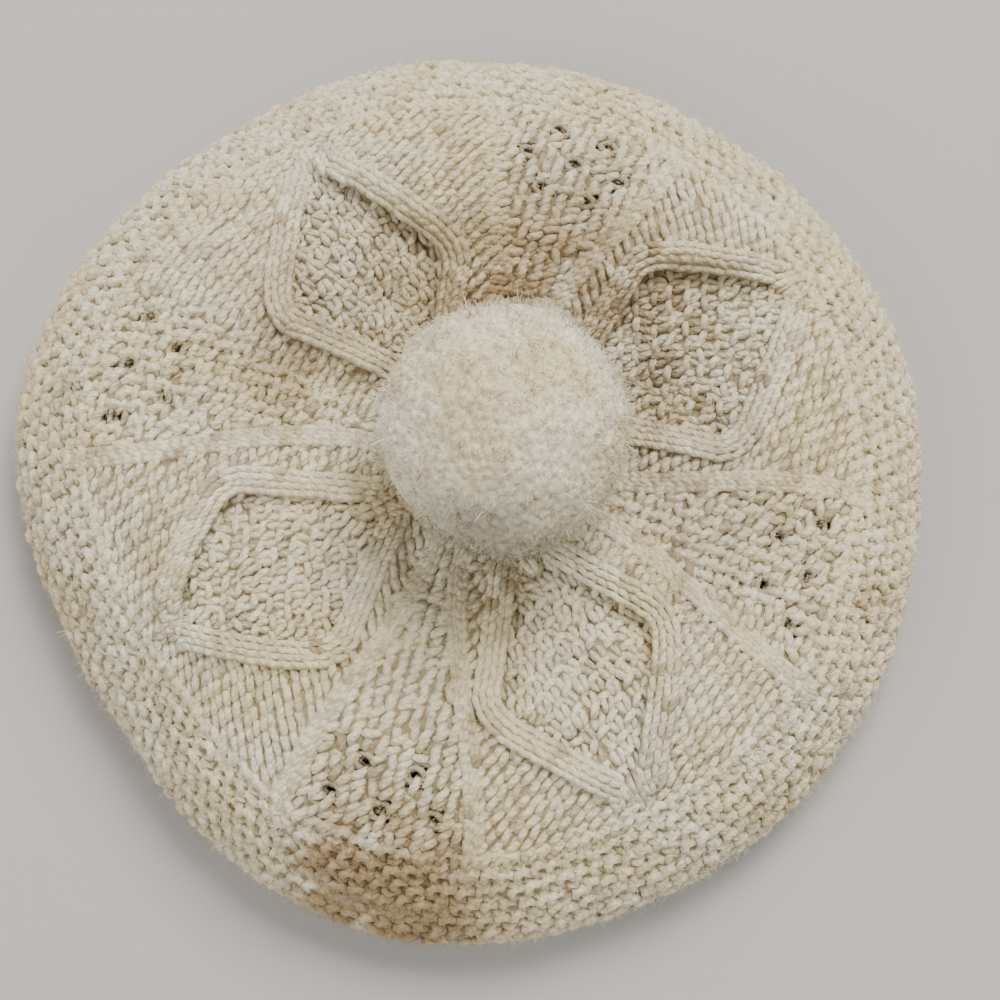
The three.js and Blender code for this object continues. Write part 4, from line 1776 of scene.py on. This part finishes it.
    def _plain_edge(self, mesh: YarnMesh, gusset: Gusset, columns: Array, rng: np.random.Generator) -> None:
        """Carries the purl ground across the edge of a gusset that has no raised rib.

        Args:
            mesh: The piece to add to.
            gusset: The gusset.
            columns: Places of the columns across the edge.
            rng: Seeded source of chance.
        """
        form = self.form
        arc = self._rows()
        arc = arc[form.radius_at(arc) > self.edge_inner]
        radius = form.radius_at(arc)
        for column in columns:
            angle = gusset.axis + gusset.plain_side * form.rib_off(radius) + np.degrees(column / radius)
            spots = Spots.on_rows(arc, angle).loosened(rng, self.ground_loose)
            mesh.knit(form, Loop.PURL_HEAD, spots.slanted(self.purl_slant), self.ground, SEEN_YARN)

    def _eyelet_collars(self, rng: np.random.Generator) -> bpy.types.Object:
        """Yarn that runs round each eyelet.

        Args:
            rng: Seeded source of chance.

        Returns:
            The piece.
        """
        form = self.form
        radius, angle = form.eyelets()
        turn = np.linspace(0, 2 * math.pi, self.collar_points)
        mesh = YarnMesh("eyelet_collars")
        for collar in COLLARS:
            reach = collar.reach + rng.normal(0, self.collar_uneven, len(radius))[:, None]
            arc = form.top_arc(radius)[:, None] + reach * np.cos(turn) * self.collar_along
            aside = reach * np.sin(turn) * self.collar_wide
            wide = angle[:, None] + np.degrees(aside / radius[:, None])
            ripple = np.sin(self.collar_ripples * turn + rng.uniform(0, 6, len(radius))[:, None])
            lift = collar.lift + self.collar_ripple * ripple
            path = form.place(arc, wide, lift)
            girth = np.full(arc.shape, collar.yarn)
            mesh.tubes(path, girth, form.normal(arc, wide), SEEN_YARN, np.full(arc.shape, collar.tone))
        return mesh.make()


@dataclass
class Rim:
    """The garter rim, from the pattern's edge over the turn to the underside."""

    form: WallForm
    gauge: Gauge = Gauge(5.2, 5.0, 1.66, 1.15)
    columns: int = 158
    ring_radius: float = 113.5
    past_turn: float = 14.0
    head_loose: Loose = Loose(0.38, 0.28)
    head_slant: Slant = Slant(0.7, 0.7)
    sinker_loose: Loose = Loose(0.28, 0.2)
    sinker_slant: Slant = Slant(0.3, 0.3)
    wall_thinned: float = 1.5
    felt_overlap: float = 4.0
    felt_step: float = 3.0
    felt_columns: int = 300
    felt_depth: float = 1.5
    felt_shade: float = 0.35
    seed: int = 17

    def build(self, node: bpy.types.Object) -> list[bpy.types.Object]:
        """Makes the rim's pieces.

        Args:
            node: The rim as built.

        Returns:
            The backing wall, then the stitches.
        """
        rng = np.random.default_rng(self.seed)
        form = self.form
        mesh = YarnMesh("garter_rim")
        rows = np.arange(form.top_arc(self.ring_radius), form.rim_arc + self.past_turn, self.gauge.row)
        for number, arc in enumerate(rows):
            angle = (np.arange(self.columns) + 0.5 * (number % 2)) * 360 / self.columns
            heads = Spots.on_rows(np.full(self.columns, arc), angle).loosened(rng, self.head_loose)
            mesh.knit(form, Loop.GARTER_HEAD, heads.slanted(self.head_slant), self.gauge, SEEN_YARN)
            between = Spots.on_rows(np.full(self.columns, arc + 0.5 * self.gauge.row), angle)
            between.angle = between.angle + 180 / self.columns
            between = between.loosened(rng, self.sinker_loose).slanted(self.sinker_slant)
            mesh.knit(form, Loop.GARTER_SINKER, between, self.gauge, LOW_YARN)
        # A dark sheet behind the rim's stitches: painted shade in the gaps between them.
        arc = np.arange(rows[0] - self.felt_overlap, rows[-1], self.felt_step)
        felt = Spots.sheet(arc, self.felt_columns)
        points = form.place(felt.arc, felt.angle, felt.lift - self.felt_depth).reshape(len(arc), -1, 3)
        mesh.sheet(points, np.ones(points.shape[:2], bool), self.felt_shade)
        return [Piece.wall_of(node, "rim_wall", self.wall_thinned), mesh.make()]


@dataclass
class Underside:
    """The plain knitted underside, from under the rim to the band."""

    form: WallForm
    gauge: Gauge = Gauge(4.6, 3.7, 1.55, 1.1)
    loose: Loose = Loose(0.2, 0.12)
    past_turn: float = 14.5
    seam_gap: float = 1.5
    wall_thinned: float = 0.9
    wall_levels: int = 1
    seed: int = 23

    def build(self, node: bpy.types.Object) -> list[bpy.types.Object]:
        """Makes the underside's pieces.

        Args:
            node: The underside as built.

        Returns:
            The backing wall, then the stitches.
        """
        rng = np.random.default_rng(self.seed)
        form = self.form
        mesh = YarnMesh("underside_purl")
        rows = np.arange(form.rim_arc + self.past_turn, form.arc[-1] - self.seam_gap, self.gauge.row)
        for number, arc in enumerate(rows):
            spots = Spots.ring(form, arc, self.gauge.stitch, number).loosened(rng, self.loose)
            mesh.knit(form, Loop.PURL_HEAD, spots, self.gauge, HIDDEN_YARN)
        return [Piece.wall_of(node, "underside_wall", self.wall_thinned, self.wall_levels), mesh.make()]


RIB_MIDDLES = (0.125, 0.625)


@dataclass
class Band:
    """The ribbed head band: pairs of knit columns that stand out on the inside and the outside in turn."""

    centre: tuple[float, float]
    radius: float = 69.0
    wall: float = 3.0
    height: float = 30.0
    ribs: int = 26
    rib_depth: float = 0.8
    gauge: Gauge = Gauge(3.6, 3.3, 1.0)
    sunk: float = 0.9
    first_row: float = 1.8
    top_gap: float = 0.5
    uneven: float = 0.1
    lightest: float = 1.1
    wall_thinned: float = 0.5
    wall_levels: int = 1
    seed: int = 31

    def build(self, node: bpy.types.Object) -> list[bpy.types.Object]:
        """Makes the band's pieces.

        Args:
            node: The band as built.

        Returns:
            The backing wall, then the stitches.
        """
        rng = np.random.default_rng(self.seed)
        mesh = YarnMesh("band_ribs")
        rows = np.arange(self.first_row, self.height - self.top_gap, self.gauge.row)
        for face, raised in zip(SIDES, RIB_MIDDLES):
            for rib in range(self.ribs):
                middle = (rib + raised) / self.ribs * 2 * math.pi
                for column in (-0.5, 0.5):
                    for hand in SIDES:
                        self._column(mesh, middle, column, face, hand, rows, rng)
        return [Piece.wall_of(node, "band_wall", self.wall_thinned, self.wall_levels), mesh.make()]

    def _column(
        self, mesh: YarnMesh, middle: float, column: float, face: int, hand: int, rows: Array,
        rng: np.random.Generator,
    ) -> None:
        """Lays one side of a column of knit stitches up the band.

        Args:
            mesh: The piece to add to.
            middle: Angle of the rib's middle, in radians.
            column: Place of the column across the rib, in stitches.
            face: 1 for the outside of the band, -1 for the inside.
            hand: 1 for the right leg of each stitch, -1 for the left.
            rows: Heights of the rows.
            rng: Seeded source of chance.
        """
        leg = Loop.KNIT_LEG
        wide = self.gauge.stitch * (column + hand * leg.column("across"))
        surface = self.wall / 2 + self.rib_depth - self.sunk
        out = self.radius + face * (surface + self.gauge.yarn * leg.column("lift"))
        angle = middle + wide / self.radius
        uneven = rng.normal(0, self.uneven, (len(rows), 1))
        height = rows[:, None] + self.gauge.row * leg.column("along") + uneven
        height = np.clip(height, self.gauge.yarn * 0.9, self.height)
        x = np.broadcast_to(self.centre[0] + out * np.cos(angle), height.shape)
        y = np.broadcast_to(self.centre[1] + out * np.sin(angle), height.shape)
        facing = np.stack([np.cos(angle), np.sin(angle), np.zeros(len(angle))], axis=-1) * face
        facing = np.broadcast_to(facing, (*height.shape, 3))
        girth = np.broadcast_to(self.gauge.yarn * leg.column("girth"), height.shape)
        # Painted shade: the legs darken where they dive into the band.
        tone = np.broadcast_to(depth_shade(leg.column("lift"), self.lightest), height.shape)
        mesh.tubes(np.stack([x, y, height], axis=-1), girth, facing, HIDDEN_YARN, tone)


@dataclass(frozen=True)
class Lump:
    """A swelling or a flat of the hand-cut pompom: which way it lies, how high it is and how narrow."""

    way: tuple[float, float, float]
    rise: float
    focus: float


LUMPS = (
    Lump((0.10, -0.98, 0.15), 2.4, 9.0),
    Lump((-0.72, -0.66, 0.20), -0.9, 14.0),
    Lump((0.74, -0.64, 0.20), -0.9, 14.0),
    Lump((-0.98, 0.05, 0.20), 1.4, 8.0),
    Lump((0.70, 0.55, 0.45), -0.6, 12.0),
    Lump((-0.30, 0.80, 0.50), 0.7, 12.0),
)


@dataclass
class Pompom:
    """The ball of cut yarn on the crown: tufts that close up, each frayed into fine hair."""

    core: float = 34.2
    reach: float = 36.0
    drift: tuple[float, float] = (-1.2, -1.8)
    tufts: int = 1900
    tuft_radius: float = 1.6
    tuft_height: float = 1.0
    tuft_sunk: float = 0.6
    stray: float = 0.022
    lump: float = 0.4
    ball_levels: int = 7
    batches: int = 40
    hairs: int = 26000
    hair_width: float = 0.32
    hair_length: float = 1.7
    hair_shortest: float = 0.7
    hair_uneven: float = 0.28
    hair_spread: float = 0.75
    hair_root: float = 0.9
    hair_out: float = 0.85
    hair_aside: float = 0.3
    hair_lean: float = 0.8
    hair_leaning: float = 0.55
    hair_scatter: float = 0.25
    hair_curl: float = 0.35
    hair_bend: tuple[float, float, float] = (0.0, 0.55, 1.0)
    tuft_tone: tuple[float, float] = (0.95, 0.18)
    hair_tone: float = 0.1
    tone_range: tuple[float, float] = (0.3, 1.2)
    seat_gap: float = 1.0
    seed: int = 47

    def build(self, low: Vector, high: Vector) -> list[bpy.types.Object]:
        """Makes the pompom.

        Args:
            low: Lowest corner of the pompom as built, in metres.
            high: Highest corner of the pompom as built, in metres.

        Returns:
            The ball of tufts, then its hair.
        """
        rng = np.random.default_rng(self.seed)
        centre = np.array([(low.x + high.x) / 2, (low.y + high.y) / 2, high.z]) / MM
        centre += (*self.drift, -self.reach)
        seat = low.z / MM + self.seat_gap
        tips = self._ways(self.tufts, self.stray, rng)
        return [self._ball(centre, seat, tips), self._hair(centre, seat, tips, rng)]

    @staticmethod
    def _ways(count: int, stray: float, rng: np.random.Generator) -> Array:
        """Directions spread over a ball, each a little astray.

        Args:
            count: How many.
            stray: How far each one strays.
            rng: Seeded source of chance.

        Returns:
            One direction a row.
        """
        number = np.arange(count)
        up = 1 - (2 * number + 1) / count
        around = number * math.pi * (3 - math.sqrt(5))
        level = np.sqrt(1 - up * up)
        way = np.stack([level * np.cos(around), level * np.sin(around), up], axis=-1)
        way += rng.normal(0, stray, way.shape)
        return way / np.linalg.norm(way, axis=-1, keepdims=True)

    def _surface(self, way: Array) -> Array:
        """How far the clipped ball reaches, with its hand-cut lumps.

        Args:
            way: Directions, one a row.

        Returns:
            The reach in each direction.
        """
        broad = np.sin(5 * way[:, 0] + 2) * np.sin(4 * way[:, 1] + 1)
        fine = np.sin(9 * way[:, 2] + 7 * way[:, 0]) * np.sin(11 * way[:, 1])
        reach = self.core + self.lump * (broad + 0.8 * fine)
        for lump in LUMPS:
            reach += lump.rise * np.exp(lump.focus * (way @ np.array(lump.way) - 1))
        return reach

    def _ball(self, centre: Array, seat: float, tips: Array) -> bpy.types.Object:
        """The ball, its face swelling over each tuft.

        Args:
            centre: Middle of the ball.
            seat: Height of its flat underside.
            tips: Directions of the tufts.

        Returns:
            The piece.
        """
        bpy.ops.object.select_all(action="DESELECT")
        bpy.ops.mesh.primitive_ico_sphere_add(subdivisions=self.ball_levels, radius=1.0)
        ball = bpy.context.active_object
        ball.name = "pompom_ball"
        way = np.empty(len(ball.data.vertices) * 3)
        ball.data.vertices.foreach_get("co", way)
        way = way.reshape(-1, 3)
        parts = np.array_split(way, self.batches)
        near = np.concatenate([(part @ tips.T).max(axis=1) for part in parts])
        gap = np.arccos(np.clip(near, -1, 1)) * self.core / self.tuft_radius
        swell = np.sqrt(np.clip(1 - gap**2, 0, 1))
        reach = self._surface(way) + self.tuft_height * (swell - self.tuft_sunk)
        place = centre + way * reach[:, None]
        ball.data.vertices.foreach_set("co", (place * MM).ravel())
        bpy.ops.object.mode_set(mode="EDIT")
        bpy.ops.mesh.select_all(action="SELECT")
        bpy.ops.mesh.bisect(plane_co=(0, 0, seat * MM), plane_no=(0, 0, -1), use_fill=True, clear_outer=True)
        bpy.ops.object.mode_set(mode="OBJECT")
        bpy.ops.object.shade_smooth()
        return ball

    def _hair(self, centre: Array, seat: float, tips: Array, rng: np.random.Generator) -> bpy.types.Object:
        """Fine hair that fans out of the tufts.

        Args:
            centre: Middle of the ball.
            seat: Height of its flat underside.
            tips: Directions of the tufts.
            rng: Seeded source of chance.

        Returns:
            The piece.
        """
        tuft = rng.integers(0, len(tips), self.hairs)
        way = tips[tuft]
        aside = rng.normal(0, self.hair_spread, way.shape)
        aside -= way * (aside * way).sum(axis=-1, keepdims=True)
        surface = self._surface(way)
        root = centre + way * (surface - self.tuft_sunk)[:, None] + aside * self.hair_root
        lean = rng.normal(0, self.hair_lean, (len(tips), 3))[tuft]
        length = rng.uniform(self.hair_shortest, 1.0, self.hairs)
        length = length * np.exp(rng.normal(0, self.hair_uneven, self.hairs)) * self.hair_length
        away = way * self.hair_out + aside * self.hair_aside + lean * self.hair_leaning
        away = away + rng.normal(0, self.hair_scatter, way.shape)
        share = np.array(self.hair_bend)
        curl = rng.normal(0, self.hair_curl, (self.hairs, 1, 3)) * (share**2)[None, :, None]
        path = root[:, None] + away[:, None] * (length[:, None] * share)[..., None] + curl
        path[..., 2] = np.maximum(path[..., 2], seat)
        tone = rng.normal(*self.tuft_tone, len(tips))[tuft] + rng.normal(0, self.hair_tone, self.hairs)
        tone = np.clip(tone, *self.tone_range)
        mesh = YarnMesh("pompom_hair")
        mesh.fibres(path, rng.normal(0, 1, way.shape), self.hair_width, tone)
        return mesh.make()


@dataclass
class Fuzz:
    """Stray fibres that stand out of the knitting and soften its outline."""

    form: WallForm
    fibres: int = 52000
    shortest: float = 0.8
    longest: float = 2.6
    width: float = 0.13
    inner: float = 20.0
    past_turn: float = 8.0
    root_lift: float = 0.2
    rise: tuple[float, float] = (0.05, 0.6)
    scatter: float = 0.5
    tone: tuple[float, float] = (0.9, 1.15)
    seed: int = 61

    def build(self) -> bpy.types.Object:
        """Makes the fibres, evenly spread over the top and round the rim.

        Returns:
            The piece.
        """
        rng = np.random.default_rng(self.seed)
        form = self.form
        reached = (form.arc > form.top_arc(self.inner)) & (form.arc < form.rim_arc + self.past_turn)
        share = np.cumsum(form.radius[reached] * np.gradient(form.arc[reached]))
        arc = np.interp(rng.uniform(share[0], share[-1], self.fibres), share, form.arc[reached])
        angle = rng.uniform(0, 360, self.fibres)
        root = form.place(arc, angle, np.full(self.fibres, self.root_lift))
        normal = form.normal(arc, angle)
        away = normal * rng.uniform(*self.rise, (self.fibres, 1)) + rng.normal(0, self.scatter, root.shape)
        length = rng.uniform(self.shortest, self.longest, self.fibres)
        path = np.stack([root, root + away * length[:, None]], axis=1)
        mesh = YarnMesh("stray_fibres")
        tone = rng.uniform(*self.tone, self.fibres)
        mesh.fibres(path, rng.normal(0, 1, root.shape), self.width, tone)
        return mesh.make()


@dataclass(frozen=True)
class Lamp:
    """A soft square lamp: its place and its size, in metres, and its power in watts."""

    name: str
    place: tuple[float, float, float]
    size: float
    power: float


@dataclass
class Studio:
    """The plain floor, the soft light and the camera above the tam."""

    tilt: float = 7.5
    distance: float = 620.0
    lens: float = 74.7
    aim: tuple[float, float, float] = (9.5, -4.5, 24.0)
    floor_size: float = 16000.0
    floor_colour: Colour = linear(170, 166, 162)
    room: float = 0.5
    room_colour: Colour = (1.0, 0.985, 0.96)
    floor_drop: float = 0.2
    floor_roughness: float = 0.9
    sensor: float = 36.0
    nearest: float = 10.0
    lamps: tuple[Lamp, ...] = (
        Lamp("key", (0.8, 1.9, 2.3), 1.7, 164.0),
        Lamp("fill", (-1.7, -1.1, 1.4), 2.0, 34.0),
        Lamp("side", (1.5, -1.6, 1.2), 1.6, 14.0),
    )

    def build(self) -> None:
        """Makes the floor, the lights and the camera."""
        self._floor()
        self._lights()
        self._camera()

    def _floor(self) -> None:
        """A plain pale floor."""
        bpy.ops.object.select_all(action="DESELECT")
        bpy.ops.mesh.primitive_plane_add(size=self.floor_size * MM, location=(0, 0, -self.floor_drop * MM))
        floor = bpy.context.active_object
        floor.name = "floor"
        material = bpy.data.materials.new("pale_floor")
        material.use_nodes = True
        shader = material.node_tree.nodes["Principled BSDF"]
        shader.inputs["Base Color"].default_value = (*self.floor_colour, 1)
        shader.inputs["Roughness"].default_value = self.floor_roughness
        floor.data.materials.append(material)

    def _lights(self) -> None:
        """A soft key from the picture's top, weaker lamps from its lower corners, and a pale room."""
        world = bpy.data.worlds.new("pale_room")
        world.use_nodes = True
        room = world.node_tree.nodes["Background"]
        room.inputs["Color"].default_value = (*self.room_colour, 1)
        room.inputs["Strength"].default_value = self.room
        bpy.context.scene.world = world
        for lamp in self.lamps:
            light = bpy.data.lights.new(lamp.name, "AREA")
            light.size = lamp.size
            light.energy = lamp.power
            stand = bpy.data.objects.new(lamp.name, light)
            stand.location = lamp.place
            stand.rotation_euler = (-Vector(lamp.place)).to_track_quat("-Z", "Y").to_euler()
            bpy.context.scene.collection.objects.link(stand)

    def _camera(self) -> None:
        """A camera nearly overhead, a little toward the picture's bottom."""
        camera = bpy.data.cameras.new("camera")
        camera.lens = self.lens
        camera.sensor_width = self.sensor
        camera.clip_start = self.nearest * MM
        body = bpy.data.objects.new("camera", camera)
        tilt = math.radians(self.tilt)
        away = Vector((0, -math.sin(tilt), math.cos(tilt))) * self.distance
        body.location = (Vector(self.aim) + away) * MM
        body.rotation_euler = (tilt, 0, 0)
        bpy.context.scene.collection.objects.link(body)
        bpy.context.scene.camera = body


def main() -> None:
    """Builds the tam's pieces in order, dresses them and sets the stage."""
    logging.basicConfig(level=logging.INFO, format="%(name)s: %(message)s")
    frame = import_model()
    nodes = frame["nodes"]
    low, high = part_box("band")
    centre = ((low.x + high.x) / 2 / MM, (low.y + high.y) / 2 / MM)
    form = WallForm(centre)
    groups = WoolGroups(WoolTexture())
    yarn, backing, valley, pile, ball = (
        finish.make(groups) for finish in (YARN, BACKING, VALLEY, POMPOM_HAIR, POMPOM_BALL)
    )
    sets = (
        ("crown", [*Crown(form).build(nodes["crown"]), Fuzz(form).build()], "knitted_wool", yarn, backing),
        ("rim", Rim(form).build(nodes["rim"]), "knitted_wool", yarn, backing),
        ("underside", Underside(form).build(nodes["underside"]), "knitted_wool", yarn, valley),
        ("band", Band(centre).build(nodes["band"]), "ribbed_wool", yarn, valley),
        ("pompom", Pompom().build(*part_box("pompom")), "pompom_wool", pile, ball),
    )
    for node, pieces, slot, surface, base in sets:
        for place, piece in enumerate(pieces):
            Piece.dress(piece, surface if place else base, slot)
        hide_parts(node)
    nodes["pompom_tie"].data.materials.clear()
    nodes["pompom_tie"].data.materials.append(backing)
    Studio().build()


if __name__ == "__main__":
    main()
